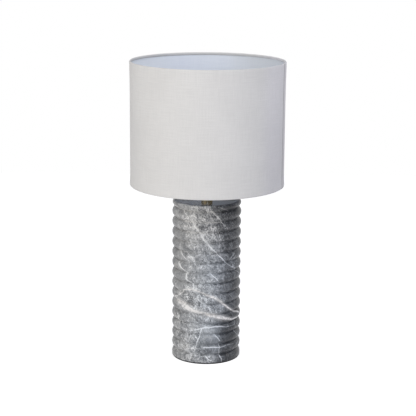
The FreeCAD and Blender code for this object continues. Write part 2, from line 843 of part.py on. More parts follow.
def shade_frame(doc, size, level, roll):
    """The hub plate, three wire arms and the two wire hoops."""
    ring_part(doc, "spider_hub", size.hub_bore_radius, size.hub_radius, level.hub, level.upper_ring)
    hoop = size.shade_radius - roll
    arm_start = size.hub_radius + size.thread_clearance
    arm_end = hoop - size.hoop_wire_radius - size.hem_clearance
    arm_height = level.hub + size.hub_thickness / 2
    hoop_height = level.shade_foot + roll
    knee = arm_start + size.arm_root_run
    ankle = arm_end - size.arm_end_run
    run = ankle - knee
    drop = arm_height - hoop_height
    slant = square_root(run * run + drop * drop)
    setback = size.arm_bend * (slant - run) / drop
    across = setback * run / slant
    down = setback * drop / slant
    corners = [
        (arm_start, arm_height),
        (knee - setback, arm_height, -size.arm_bend),
        (knee + across, arm_height - down),
        (ankle - across, hoop_height + down, size.arm_bend),
        (ankle + setback, hoop_height),
        (arm_end, hoop_height),
    ]
    count = int(SIZES["arm_count"])
    for index in range(count):
        name = f"spider_arm_{index + 1}"
        body = new_body(doc, name)
        path = new_sketch(body, f"{name}_path")
        draw_outline(path, corners, closed=False)
        section = new_sketch(body, f"{name}_section", "YZ_Plane", arm_start)
        draw_circle(section, 0, arm_height, size.arm_wire_radius)
        pipe = body.newObject("PartDesign::AdditivePipe", f"{name}_wire")
        pipe.Profile = section
        pipe.Spine = (path, [f"Edge{run + 1}" for run in range(len(corners) - 1)])
        angle = size.seam_angle + 180.0 / count + 360.0 / count * index
        bind(body, "Placement.Rotation.Angle", angle)
    for name, height in (("bottom_hoop", hoop_height), ("top_hoop", level.shade_top - roll)):
        ring = doc.addObject("Part::Torus", name)
        ring.Label = name
        bind(ring, "Radius1", hoop)
        bind(ring, "Radius2", size.hoop_wire_radius)
        bind(ring, "Placement.Base.z", height)


def waist_ease(size, roll, reach, run):
    """How far the wall has come in at a reach from a hoop's edge, on its way to the waist."""
    return size.shade_waist * (reach - roll) / (run - roll)


def wall_corners(size, level, roll, reach, inset):
    """The drum's wall from a reach below its top to one above its foot, at an inset from its outside."""
    face = size.shade_radius - inset
    waist = face - size.shade_waist
    return [
        (face - waist_ease(size, roll, reach, size.waist_below_top), level.shade_top - reach),
        (waist, level.shade_top - size.waist_below_top),
        (waist, level.shade_foot + size.waist_above_foot),
        (face - waist_ease(size, roll, reach, size.waist_above_foot), level.shade_foot + reach),
    ]


def shade_fabric(doc, size, level, roll):
    """The linen wall, rolled inwards round both hoops, with a lapped seam and notches for the arms."""
    body = new_body(doc, "shade_fabric")
    cloth = size.fabric_thickness
    inner_roll = roll - cloth
    hoop = size.shade_radius - roll
    top = level.shade_top
    foot = level.shade_foot
    hem_face = size.shade_radius - cloth - size.glue_line - size.lining_thickness - size.glue_line
    hem_edge = hem_face - waist_ease(size, roll, size.hem_depth, size.waist_above_foot)
    outer_wall = wall_corners(size, level, roll, roll, as_length(0))
    inner_wall = wall_corners(size, level, roll, roll, cloth)[::-1]
    outside = [
        (hem_edge - cloth, top - size.hem_depth),
        (hoop - roll, top - roll * 2),
        (hoop - roll, top - roll, -roll),
        (hoop, top, -roll),
        *outer_wall[:3],
        (*outer_wall[3], -roll),
        (hoop, foot, -roll),
        (hoop - roll, foot + roll),
        (hoop - roll, foot + roll * 2),
        (hem_edge - cloth, foot + size.hem_depth),
    ]
    inside = [
        (hem_edge, foot + size.hem_depth),
        (hoop - inner_roll, foot + roll * 2),
        (hoop - inner_roll, foot + roll, inner_roll),
        (hoop, foot + cloth, inner_roll),
        *inner_wall[:3],
        (*inner_wall[3], inner_roll),
        (hoop, top - cloth, inner_roll),
        (hoop - inner_roll, top - roll),
        (hoop - inner_roll, top - roll * 2),
        (hem_edge, top - size.hem_depth),
    ]
    turn(body, "fabric_wall", outside + inside)
    lap_outer = wall_corners(size, level, roll, roll, -cloth)
    lap_inner = wall_corners(size, level, roll, roll, cloth / 2)[::-1]
    turn(body, "fabric_lap", lap_outer + lap_inner, angle=size.lap_angle)
    half = size.arm_wire_radius + size.running_clearance
    notches = new_sketch(body, "hem_notch_outline", "XY_Plane", foot + roll - half)
    near = -(hoop - size.hoop_wire_radius - size.hem_clearance)
    far = -(hoop - roll * 2)
    draw_outline(notches, [(near, -half), (near, half), (far, half), (far, -half)])
    notch = extrude(body, "hem_notch", notches, size.hem_depth, cut=True, reverse=True)
    repeat_around(body, "hem_notches", notch, size.arm_count)
    bind(body, "Placement.Rotation.Angle", size.seam_angle)
    return body


def shade_lining(doc, size, level, roll):
    """The stiff white sheet that the fabric is laminated to; it stops short of both hoops."""
    outer = size.fabric_thickness + size.glue_line
    inner = outer + size.lining_thickness
    reach = roll * 2 + size.hem_clearance
    outer_wall = wall_corners(size, level, roll, reach, outer)
    inner_wall = wall_corners(size, level, roll, reach, inner)
    return turned_part(doc, "shade_lining", outer_wall + inner_wall[::-1])


def shade_parts(doc, size, level):
    roll = size.hoop_wire_radius + size.hem_clearance + size.fabric_thickness
    shade_ring(doc, "lower_shade_ring", size, level.hub, -1)
    shade_ring(doc, "upper_shade_ring", size, level.upper_ring, 1)
    shade_frame(doc, size, level, roll)
    shade_fabric(doc, size, level, roll)
    shade_lining(doc, size, level, roll)


def bulb_cap(doc, size, level):
    """The screw cap with its insulator and centre contact."""
    foot = level.bulb + size.bulb_insulator_height
    top = level.bulb + size.bulb_insulator_height + size.bulb_cap_height
    seat = size.bulb_insulator_radius + size.slip_clearance
    skirt = size.bulb_cap_radius + size.sleeve_wall
    root = size.bulb_cap_radius - size.bulb_thread_depth
    floor = foot + size.sleeve_wall
    start = foot + size.sleeve_wall
    turns = int(SIZES["bulb_thread_turns"])
    radius = size.bulb_cap_radius
    turned_part(
        doc,
        "bulb_cap",
        [(seat, foot), (root, foot)]
        + thread_corners(size, radius, size.bulb_thread_depth, start, size.bulb_thread_pitch, turns)
        + [
            (size.bulb_cap_radius, top - size.bulb_thread_pitch),
            (size.bulb_cap_radius, top),
            (size.bulb_cap_bore_radius, top),
            (size.bulb_cap_bore_radius, floor),
            (seat, floor),
        ],
    )
    pin = size.bulb_contact_height
    collar_foot = floor + size.thread_clearance
    collar_top = collar_foot + size.bulb_insulator_collar
    turned_part(
        doc,
        "bulb_insulator",
        [
            (pin + size.thread_clearance, level.bulb + size.bulb_contact_height),
            (size.bulb_contact_radius, level.bulb + size.bulb_contact_height),
            (size.bulb_insulator_radius, foot),
            (size.bulb_insulator_radius, collar_foot),
            (size.bulb_cap_bore_radius - size.running_clearance, collar_foot),
            (size.bulb_cap_bore_radius - size.running_clearance, collar_top),
            (pin + size.thread_clearance, collar_top),
        ],
    )
    turned_part(
        doc,
        "bulb_contact",
        [
            (0, level.bulb),
            (size.bulb_contact_radius, level.bulb),
            (size.bulb_contact_radius, level.bulb + size.bulb_contact_height),
            (pin, level.bulb + size.bulb_contact_height),
            (pin, collar_top),
            (0, collar_top),
        ],
    )
    return top


def bulb_glass(doc, size, level, cap_top):
    """The opal envelope: a neck that swells into a sphere, with a narrower tail inside the cap."""
    shoulder = cap_top + size.running_clearance
    tail = cap_top - size.bulb_tail
    tail_radius = size.bulb_cap_bore_radius - size.running_clearance
    reach = size.bulb_radius + size.bulb_neck_arc
    offset = size.bulb_neck_radius + size.bulb_neck_arc
    drop = square_root(reach * reach - offset * offset)
    neck_top = level.bulb_centre - drop
    joint_x = offset * size.bulb_radius / reach
    joint_z = level.bulb_centre - drop * size.bulb_radius / reach
    inner_x = offset * (size.bulb_radius - size.bulb_wall) / reach
    inner_z = level.bulb_centre - drop * (size.bulb_radius - size.bulb_wall) / reach
    inner_tail = tail_radius - size.bulb_wall
    inner_neck = size.bulb_neck_radius - size.bulb_wall
    inner_radius = size.bulb_radius - size.bulb_wall
    turned_part(
        doc,
        "bulb_glass",
        [
            (inner_tail, tail),
            (tail_radius, tail),
            (tail_radius, shoulder),
            (size.bulb_neck_radius, shoulder),
            (size.bulb_neck_radius, neck_top, -size.bulb_neck_arc),
            (joint_x, joint_z, size.bulb_radius),
            (size.bulb_radius, level.bulb_centre, size.bulb_radius),
            (0, level.bulb_centre + size.bulb_radius),
            (0, level.bulb_centre + inner_radius, -inner_radius),
            (inner_radius, level.bulb_centre, -inner_radius),
            (inner_x, inner_z, size.bulb_neck_arc + size.bulb_wall),
            (inner_neck, neck_top),
            (inner_neck, shoulder + size.bulb_wall),
            (inner_tail, shoulder + size.bulb_wall),
        ],
    )
    flare = inner_tail - size.thread_clearance
    turned_part(
        doc,
        "bulb_stem",
        [
            (0, tail),
            (flare, tail),
            (flare, tail + size.bulb_wall),
            (size.stem_radius, tail + size.bulb_tail),
            (size.stem_radius, tail + size.stem_height),
            (0, tail + size.stem_height),
        ],
    )
    filaments = new_body(doc, "led_filaments")
    filament_foot = tail + size.stem_height - size.filament_length
    sketch = new_sketch(filaments, "filaments_outline", "XY_Plane", filament_foot)
    distance = size.stem_radius + size.filament_radius + size.slip_clearance
    count = int(SIZES["filament_count"])
    for index in range(count):
        angle = 2 * math.pi * (index + 0.5) / count
        draw_circle(sketch, distance * math.cos(angle), distance * math.sin(angle), size.filament_radius)
    extrude(filaments, "filaments_body", sketch, size.filament_length)


def takes_away(feature):
    """Whether a feature of a body should leave it with less material."""
    original = feature.Originals[0] if hasattr(feature, "Originals") else feature
    return original.TypeId in ("PartDesign::Pocket", "PartDesign::Groove", "PartDesign::Fillet")


def check_objects(doc):
    """Stops if any object failed, or if a feature changes its body the wrong way or not at all."""
    for item in doc.Objects:
        if "Invalid" in item.State or "Error" in item.State:
            raise RuntimeError(f"{item.Name} failed: {item.State}")
    for body in (item for item in doc.Objects if item.TypeId == "PartDesign::Body"):
        volume = 0.0
        for feature in (item for item in body.Group if item.TypeId.startswith("PartDesign::")):
            change = feature.Shape.Volume - volume
            if change * (-1 if takes_away(feature) else 1) < 1e-3:
                raise RuntimeError(f"{feature.Name} changes its body's volume by {change:.4f}")
            volume = feature.Shape.Volume


def parts_of(doc):
    """Every piece of the lamp: the bodies, wires and hoops."""
    kinds = ("PartDesign::Body", "Part::Feature", "Part::Torus")
    return [item for item in doc.Objects if item.TypeId in kinds]


def main():
    doc = FreeCAD.newDocument("column_table_lamp")
    size = write_sheet(doc)
    level = heights(size)
    base_parts(doc, size, level)
    terminal_block(doc, size, level)
    wires(doc, size, level)
    neck_parts(doc, size, level)
    holder_cap(doc, size, level)
    holder_core(doc, size, level)
    holder_shell(doc, size, level)
    shade_parts(doc, size, level)
    cap_top = bulb_cap(doc, size, level)
    bulb_glass(doc, size, level, cap_top)
    doc.recompute()
    check_objects(doc)
    parts = parts_of(doc)
    for part in parts:
        if part.Shape.isNull() or not part.Shape.isValid() or not part.Shape.Solids:
            raise RuntimeError(f"{part.Label} has no valid solid")
    os.makedirs("parts", exist_ok=True)
    for part in parts:
        part.Shape.exportStep(f"parts/{part.Label}.step")
    print(f"{len(parts)} parts written")


main()
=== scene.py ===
import logging
import math
from abc import ABC, abstractmethod
from collections.abc import Callable, Sequence
from dataclasses import dataclass
from enum import Enum

import bmesh
import bpy
import numpy as np
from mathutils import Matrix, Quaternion, Vector, noise


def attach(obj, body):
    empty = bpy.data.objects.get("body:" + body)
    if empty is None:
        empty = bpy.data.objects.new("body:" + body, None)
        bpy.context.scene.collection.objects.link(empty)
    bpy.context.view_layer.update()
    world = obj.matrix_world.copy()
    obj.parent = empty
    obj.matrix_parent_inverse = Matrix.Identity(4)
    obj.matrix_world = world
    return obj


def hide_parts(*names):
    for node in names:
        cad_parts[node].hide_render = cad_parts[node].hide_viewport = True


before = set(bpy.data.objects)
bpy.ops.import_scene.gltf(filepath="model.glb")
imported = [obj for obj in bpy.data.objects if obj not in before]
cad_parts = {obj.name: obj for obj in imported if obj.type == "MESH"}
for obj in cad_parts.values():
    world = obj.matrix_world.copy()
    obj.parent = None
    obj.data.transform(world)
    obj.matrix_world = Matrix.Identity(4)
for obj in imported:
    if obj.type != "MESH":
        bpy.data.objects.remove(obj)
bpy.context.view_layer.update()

log = logging.getLogger("column_table_lamp")

Colour = tuple[float, float, float]
Point = tuple[float, float]
Place = tuple[float, float, float]
Stops = tuple[tuple[float, Colour], ...]
Socket = bpy.types.NodeSocket
Node = bpy.types.Node
Tree = bpy.types.NodeTree
Thing = bpy.types.Object
Material = bpy.types.Material
Inputs = dict[str | int, object]
Paint = tuple[Inputs, Socket]

MM = 0.001
TINY = MM * MM
SHARP_ANGLE = math.radians(38)
SHEET_SHARP_ANGLE = math.radians(60)
LATHE_LANES = (0.03, 0.03, 1.0)
WHITE: Colour = (1.0, 1.0, 1.0)
MIDDLE_RANGE: Point = (0.3, 0.7)


class Body(Enum):
    """The bodies of the lamp that new pieces move with."""

    STAND = "stand"
    SHADE = "shade"
    BULB_GLASS = "bulb_glass"


class Polish(Enum):
    """How rough a finish is."""

    MIRROR = 0.08
    POLISHED = 0.16
    SATIN = 0.34
    EGGSHELL = 0.5
    MATTE = 0.72
    NAPPED = 0.92


class VeinKind(Enum):
    """Broad healed cracks, fine pale lines and dark cracks, each kind with its own attribute on the stone."""

    BROAD = "vein_broad"
    FINE = "vein_fine"
    DARK = "vein_dark"


@dataclass(frozen=True)
class Noise:
    """How fine a noise texture is, as a number or a socket, and how detailed and rough."""

    scale: object
    detail: float = 4.0
    roughness: float = 0.6


class Graph:
    """Adds nodes to a tree and joins them."""

    def __init__(self, tree: Tree) -> None:
        """Starts on the node tree of a material, group or world."""
        self.tree = tree

    def set(self, socket: Socket, value: object) -> None:
        """Joins a socket to another, or gives it a plain value.

        Args:
            socket: The input to fill.
            value: A socket, a number, a vector or a colour.
        """
        if isinstance(value, Socket):
            self.tree.links.new(value, socket)
        elif isinstance(value, tuple) and len(value) == 3 and socket.type == "RGBA":
            socket.default_value = (*value, 1.0)
        else:
            socket.default_value = value

    def add(self, kind: str, inputs: Inputs | None = None, **settings: object) -> Node:
        """Adds a node.

        Args:
            kind: The node's type, without its ShaderNode prefix.
            inputs: Values or sockets for its inputs, by name or number.
            settings: Properties of the node.

        Returns:
            The new node.
        """
        node = self.tree.nodes.new(f"ShaderNode{kind}")
        for name, value in settings.items():
            setattr(node, name, value)
        for name, value in (inputs or {}).items():
            self.set(node.inputs[name], value)
        return node

    def math(self, operation: str, a: object, b: object = 0.0) -> Socket:
        """Adds one step of arithmetic and returns its result."""
        return self.add("Math", {0: a, 1: b}, operation=operation).outputs[0]

    def mean(self, a: Socket, b: Socket) -> Socket:
        """The mean of two numbers."""
        return self.math("ADD", self.math("MULTIPLY", a, 0.5), self.math("MULTIPLY", b, 0.5))

    def vector(self, operation: str, a: object, b: object) -> Socket:
        """Adds one step of vector arithmetic and returns its result."""
        return self.add("VectorMath", {0: a, 1: b}, operation=operation).outputs[0]

    def part(self, vector: Socket, axis: int) -> Socket:
        """One of a vector's three parts."""
        return self.add("SeparateXYZ", {0: vector}).outputs[axis]

    def mix(self, share: object, a: object, b: object) -> Socket:
        """Mixes two colours and returns the result."""
        return self.add("Mix", {0: share, 6: a, 7: b}, data_type="RGBA").outputs[2]

    def ease(self, value: Socket, low: float, high: float, to_low: float = 0.0, to_high: float = 1.0) -> Socket:
        """Maps a range smoothly onto another and returns the result."""
        inputs = {0: value, 1: low, 2: high, 3: to_low, 4: to_high}
        return self.add("MapRange", inputs, interpolation_type="SMOOTHSTEP").outputs[0]

    def cloud(self, place: Socket, noise: Noise, output: str = "Fac") -> Socket:
        """Adds a noise texture and returns its value, or its colour."""
        inputs = {"Vector": place, "Scale": noise.scale, "Detail": noise.detail, "Roughness": noise.roughness}
        return self.add("TexNoise", inputs).outputs[output]

    def attribute(self, name: str) -> Socket:
        """The number that the mesh keeps under a name."""
        return self.add("Attribute", attribute_name=name).outputs["Fac"]

    def ramp(self, value: Socket, stops: Stops) -> Socket:
        """Looks a value up in a colour ramp and returns the colour.

        Args:
            value: Where to look, from 0 to 1.
            stops: The ramp's positions and colours.

        Returns:
            The colour.
        """
        node = self.add("ValToRGB", {0: value})
        elements = node.color_ramp.elements
        while len(elements) < len(stops):
            elements.new(0.5)
        for element, (position, colour) in zip(elements, stops):
            element.position = position
            element.color = (*colour, 1.0)
        return node.outputs[0]


@dataclass(frozen=True)
class Effect:
    """A shader node group that several materials share, with a vector input named Place.

    Its other inputs and its outputs are numbers.
    """

    name: str
    inputs: dict[str, float]
    fill: Callable[[Graph, Node], dict[str, Socket]]

    def tree(self) -> Tree:
        """Finds the group, or makes it the first time.

        Returns:
            The group's node tree.
        """
        tree = bpy.data.node_groups.get(self.name)
        if tree is not None:
            return tree
        tree = bpy.data.node_groups.new(self.name, "ShaderNodeTree")
        tree.interface.new_socket("Place", in_out="INPUT", socket_type="NodeSocketVector")
        for label, value in self.inputs.items():
            socket = tree.interface.new_socket(label, in_out="INPUT", socket_type="NodeSocketFloat")
            socket.default_value = value
        results = self.fill(Graph(tree), tree.nodes.new("NodeGroupInput"))
        for label in results:
            tree.interface.new_socket(label, in_out="OUTPUT", socket_type="NodeSocketFloat")
        exits = tree.nodes.new("NodeGroupOutput")
        for label, result in results.items():
            tree.links.new(result, exits.inputs[label])
        return tree


SLOW_GRAIN = 0.06


def fill_grain(graph: Graph, entry: Node) -> dict[str, Socket]:
    """Fine grain for turned, moulded and coated surfaces: a height and a slow change of shade.

    Args:
        graph: The group's graph.
        entry: The node with the group's inputs.

    Returns:
        The group's outputs, by name.
    """
    place, scale = entry.outputs["Place"], entry.outputs["Scale"]
    fine = graph.cloud(place, Noise(scale, 3.0, 0.5))
    slow = graph.cloud(place, Noise(graph.math("MULTIPLY", scale, SLOW_GRAIN), 4.0, 0.5))
    return {"Height": fine, "Shade": slow}


DUST_COLOUR: Colour = (0.55, 0.53, 0.5)
DUST_NOISE = Noise(160.0, 5.0, 0.55)
DUST_GAPS: Point = (0.38, 0.66)
DUST_SLOPE: Point = (0.35, 1.0)


def fill_dust(graph: Graph, entry: Node) -> dict[str, Socket]:
    """Dust that has settled on faces that look up, broken into patches.

    Args:
        graph: The group's graph.
        entry: The node with the group's inputs.

    Returns:
        The group's outputs, by name.
    """
    facing = graph.ease(graph.part(graph.add("NewGeometry").outputs["Normal"], 2), *DUST_SLOPE)
    broken = graph.ease(graph.cloud(entry.outputs["Place"], DUST_NOISE), *DUST_GAPS)
    return {"Mask": graph.math("MULTIPLY", graph.math("MULTIPLY", facing, broken), entry.outputs["Amount"])}


THREADS_PER_METRE = 1500.0
SLUB_ACROSS, SLUB_ALONG = 620.0, 26.0
SLUB_NOISE = Noise(1.0, 3.0)
SLUB_RANGE: Point = (0.34, 0.66)


def fill_weave(graph: Graph, entry: Node) -> dict[str, Socket]:
    """A plain weave over a UV map in metres, with threads of uneven thickness.

    Args:
        graph: The group's graph.
        entry: The node with the group's inputs.

    Returns:
        The group's outputs, by name.
    """
    across, along = (graph.part(entry.outputs["Place"], axis) for axis in (0, 1))
    waves, slubs = [], []
    for run, side in ((across, along), (along, across)):
        turn = graph.math("MULTIPLY", graph.math("MULTIPLY", run, entry.outputs["Threads per metre"]), math.pi)
        waves.append(graph.math("ABSOLUTE", graph.math("SINE", turn)))
        lane = {0: graph.math("MULTIPLY", run, SLUB_ACROSS), 1: graph.math("MULTIPLY", side, SLUB_ALONG)}
        slubs.append(graph.cloud(graph.add("CombineXYZ", lane).outputs[0], SLUB_NOISE))
    thread = graph.math("MAXIMUM", *waves)
    shade = graph.ease(graph.mean(*slubs), *SLUB_RANGE)
    return {"Shade": shade, "Height": graph.mean(thread, shade), "Thread": thread}


GRAIN = Effect("fine_grain", {"Scale": 900.0}, fill_grain)
DUST = Effect("settled_dust", {"Amount": 0.3}, fill_dust)
WEAVE = Effect("plain_weave", {"Threads per metre": THREADS_PER_METRE}, fill_weave)


class Surface(Graph):
    """A material's graph, with the point on the object in metres."""

    def __init__(self, name: str) -> None:
        """Starts a material.

        Args:
            name: The material's name.
        """
        self.material = bpy.data.materials.new(name)
        self.material.use_nodes = True
        super().__init__(self.material.node_tree)
        self.place = self.add("TexCoord").outputs["Object"]

    def use(self, effect: Effect, **inputs: object) -> Node:
        """Places a shared effect's group, on the object unless told otherwise."""
        return self.add("Group", {"Place": self.place, **inputs}, node_tree=effect.tree())

    def weave(self) -> Node:
        """Places the weave on the sheet's own UV map."""
        return self.use(WEAVE, Place=self.add("UVMap", uv_map="cloth").outputs[0])


class Finish(ABC):
    """A finish with a name and a relief, which has a strength and a depth in metres."""

    name: str
    relief: float
    depth: float

    @abstractmethod
    def paint(self, surface: Surface) -> Paint:
        """Adds the finish's own nodes.

        Args:
            surface: The material's graph.

        Returns:
            The shader's inputs, by name, and the relief's height.
        """

    def material(self) -> Material:
        """Builds the finish's material.

        Returns:
            The material.
        """
        surface = Surface(self.name)
        inputs, height = self.paint(surface)
        bump = surface.add("Bump", {"Strength": self.relief, "Distance": self.depth, "Height": height})
        shader = surface.tree.nodes["Principled BSDF"]
        for name, value in {**inputs, "Normal": bump.outputs[0]}.items():
            surface.set(shader.inputs[name], value)
        return surface.material


@dataclass(frozen=True)
class PlainFinish(Finish):
    """A moulded, turned, plated or coated finish with grain, slow patches and a little dust."""

    name: str
    colour: Colour
    patch: Colour
    polish: Polish
    metallic: float = 0.0
    grain: float = 900.0
    relief: float = 0.12
    depth: float = 0.00008
    dust: float = 0.0
    coat: float = 0.0
    lanes: bool = False
    unevenness: float = 0.25
    patch_range: Point = (0.35, 0.65)

    def paint(self, surface: Surface) -> Paint:
        """Adds the finish's nodes.

        Args:
            surface: The material's graph.

        Returns:
            The shader's inputs, by name, and the relief's height.
        """
        place = surface.vector("MULTIPLY", surface.place, LATHE_LANES) if self.lanes else surface.place
        grain = surface.use(GRAIN, Place=place, Scale=self.grain)
        shade = grain.outputs["Shade"]
        colour = surface.mix(surface.ease(shade, *self.patch_range), self.colour, self.patch)
        if self.dust:
            mask = surface.use(DUST, Amount=self.dust).outputs["Mask"]
            colour = surface.mix(mask, colour, DUST_COLOUR)
        spread = self.unevenness * self.polish.value
        rough = surface.ease(shade, *MIDDLE_RANGE, self.polish.value - spread, self.polish.value + spread)
        inputs = {"Base Color": colour, "Roughness": rough, "Metallic": self.metallic, "Coat Weight": self.coat}
        return inputs, grain.outputs["Height"]


@dataclass(frozen=True)
class StripedInsulation(Finish):
    """Green and yellow cable insulation, in two lengthwise halves."""

    name: str = "green_yellow_insulation"
    green: Colour = (0.03, 0.22, 0.06)
    yellow: Colour = (0.82, 0.62, 0.03)
    stripes: float = 900.0
    grain: float = 1400.0
    soft_edge: Point = (-0.1, 0.1)
    roughness: Point = (0.3, 0.42)
    relief: float = 0.1
    depth: float = 0.00005

    def paint(self, surface: Surface) -> Paint:
        """Adds the finish's nodes.

        Args:
            surface: The material's graph.

        Returns:
            The shader's inputs, by name, and the relief's height.
        """
        wave = surface.math("SINE", surface.math("MULTIPLY", surface.part(surface.place, 1), self.stripes))
        grain = surface.use(GRAIN, Scale=self.grain)
        colour = surface.mix(surface.ease(wave, *self.soft_edge), self.green, self.yellow)
        rough = surface.ease(grain.outputs["Shade"], *MIDDLE_RANGE, *self.roughness)
        inputs = {"Base Color": colour, "Roughness": rough}
        return inputs, grain.outputs["Height"]


@dataclass(frozen=True)
class VeinLook:
    """How a kind of vein shows: its edges are frayed by so many half widths, and a faint cloud lies beside it."""

    kind: VeinKind
    fray: float
    core: float
    halo: float
    core_edge: Point = (0.6, 1.25)
    halo_edge: Point = (1.0, 3.0)

    def share(self, surface: Surface, ragged: Socket) -> Socket:
        """How strongly such veins show at each point.

        Args:
            surface: The material's graph.
            ragged: Noise about zero, which frays the veins' edges.

        Returns:
            The share from 0 to 1.
        """
        reach = surface.math("ADD", surface.attribute(self.kind.value), surface.math("MULTIPLY", ragged, self.fray))
        middle = surface.ease(reach, *self.core_edge, self.core, 0.0)
        return surface.math("MAXIMUM", middle, surface.ease(reach, *self.halo_edge, self.halo, 0.0))


@dataclass(frozen=True)
class Mottle:
    """One scale of the stone's mottling: its noise, where it starts and how far it lightens or darkens."""

    noise: Noise
    low: float
    reach: float
    streaked: bool


@dataclass(frozen=True)
class Net:
    """A net of curling hair lines: how fine it is, how wide its lines are and how far they lighten the stone."""

    scale: float
    width: float
    reach: float
    detail: float = 3.0


@dataclass(frozen=True)
class MarbleFinish(Finish):
    """Polished grey marble: a mottled ground with pale and dark nets, and veins kept as distances on the mesh."""

    name: str = "grey_marble"
    tones: Stops = (
        (0.0, (0.02, 0.021, 0.024)),
        (0.2, (0.055, 0.057, 0.062)),
        (0.4, (0.118, 0.12, 0.125)),
        (0.6, (0.236, 0.238, 0.242)),
        (0.8, (0.432, 0.43, 0.426)),
        (1.0, (0.76, 0.75, 0.735)),
    )
    cool: Colour = (0.9, 0.985, 1.1)
    crack: Colour = (0.04, 0.043, 0.05)
    broad_vein: Colour = (0.82, 0.808, 0.8)
    cloudy_vein: Colour = (0.55, 0.548, 0.55)
    stain: Colour = (0.42, 0.37, 0.3)
    stain_share: float = 0.2
    stain_noise: Noise = Noise(30.0, 5.0)
    stain_range: Point = (0.58, 0.74)
    healed_noise: Noise = Noise(150.0)
    healed_range: Point = (0.4, 0.54)
    frayed_noise: Noise = Noise(190.0, 5.0, 0.65)
    warps: tuple[tuple[Noise, float], ...] = ((Noise(22.0, 3.0, 0.55), 0.035), (Noise(130.0, 3.0, 0.55), 0.006))
    grain_tilt: float = -24.0
    grain_draw: float = 1.8
    mottles: tuple[Mottle, ...] = (
        Mottle(Noise(26.0, 4.0, 0.55), 0.3, 0.06, False),
        Mottle(Noise(90.0, 4.0), 0.34, 0.08, True),
        Mottle(Noise(260.0, 3.0), 0.36, 0.12, True),
        Mottle(Noise(430.0, 2.0), 0.36, 0.08, False),
    )
    nets: tuple[Net, ...] = (
        Net(40.0, 0.022, 0.18),
        Net(74.0, 0.035, -0.18),
        Net(105.0, 0.04, 0.2),
        Net(160.0, 0.05, -0.19),
        Net(210.0, 0.06, 0.2),
    )
    nets_apart: float = 0.37
    gate_scale: float = 38.0
    gate_step: float = 9.0
    gate_roughness: float = 0.55
    gate_range: Point = (0.46, 0.6)
    gate_crackle: float = 0.18
    calm: float = 0.42
    lively: float = 1.15
    broad_look: VeinLook = VeinLook(VeinKind.BROAD, 1.5, 0.95, 0.22)
    fine_look: VeinLook = VeinLook(VeinKind.FINE, 0.8, 0.46, 0.1)
    dark_look: VeinLook = VeinLook(VeinKind.DARK, 1.1, 0.75, 0.1)
    polished_above: Point = (0.3162, 0.3168)
    shine: float = 0.36
    relief_noise: Noise = Noise(240.0, 5.0)
    relief: float = 0.12
    depth: float = 0.0002

    def paint(self, surface: Surface) -> Paint:
        """Adds the finish's nodes.

        Args:
            surface: The material's graph.

        Returns:
            The shader's inputs, by name, and the relief's height.
        """
        place = warped = surface.place
        for warp, reach in self.warps:
            shift = surface.vector("SUBTRACT", surface.cloud(place, warp, "Color"), (0.5, 0.5, 0.5))
            warped = surface.vector("ADD", warped, surface.vector("MULTIPLY", shift, (reach, reach, reach)))
        drawn = {0: warped, 2: (0.0, math.radians(self.grain_tilt), 0.0), 3: (1.0, 1.0, self.grain_draw)}
        streaked = surface.add("Mapping", drawn, vector_type="TEXTURE").outputs[0]
        crackle = surface.attribute("crackle")
        value = self.netted(surface, streaked, crackle, self.mottled(surface, streaked, crackle))
        ragged = surface.math("SUBTRACT", surface.cloud(place, self.frayed_noise), 0.5)
        value = surface.math("ADD", value, self.fine_look.share(surface, ragged))
        colour = surface.ramp(value, self.tones)
        stained = surface.ease(surface.cloud(place, self.stain_noise), *self.stain_range, 0.0, self.stain_share)
        colour = surface.mix(stained, colour, self.stain)
        cooled = surface.mix(surface.attribute("cool"), WHITE, self.cool)
        colour = surface.vector("MULTIPLY", colour, cooled)
        cloudy = surface.ease(surface.cloud(place, self.healed_noise), *self.healed_range)
        healed = surface.mix(cloudy, self.cloudy_vein, self.broad_vein)
        colour = surface.mix(self.broad_look.share(surface, ragged), colour, healed)
        colour = surface.mix(self.dark_look.share(surface, ragged), colour, self.crack)
        high = surface.part(place, 2)
        rough = surface.ease(high, *self.polished_above, Polish.SATIN.value, Polish.MIRROR.value)
        inputs = {"Base Color": colour, "Roughness": rough, "Specular IOR Level": self.shine}
        return inputs, surface.cloud(warped, self.relief_noise)

    def mottled(self, surface: Surface, streaked: Socket, crackle: Socket) -> Socket:
        """How light the ground is: the stone's own zones with the painted light and shade held in its tone, and
        mottling that is calmer where it is less crackled.

        Args:
            surface: The material's graph.
            streaked: The point, drawn out along the stone's grain.
            crackle: How crackled the stone is.

        Returns:
            The ground's value, from 0 to 1.
        """
        mottle: object = 0.0
        for layer in self.mottles:
            place = streaked if layer.streaked else surface.place
            cloud = surface.cloud(place, layer.noise)
            part = surface.ease(cloud, layer.low, 1 - layer.low, -layer.reach, layer.reach)
            mottle = surface.math("ADD", mottle, part)
        strength = surface.ease(crackle, -1.0, 1.0, self.calm, self.lively)
        return surface.math("ADD", surface.attribute("tone"), surface.math("MULTIPLY", mottle, strength))

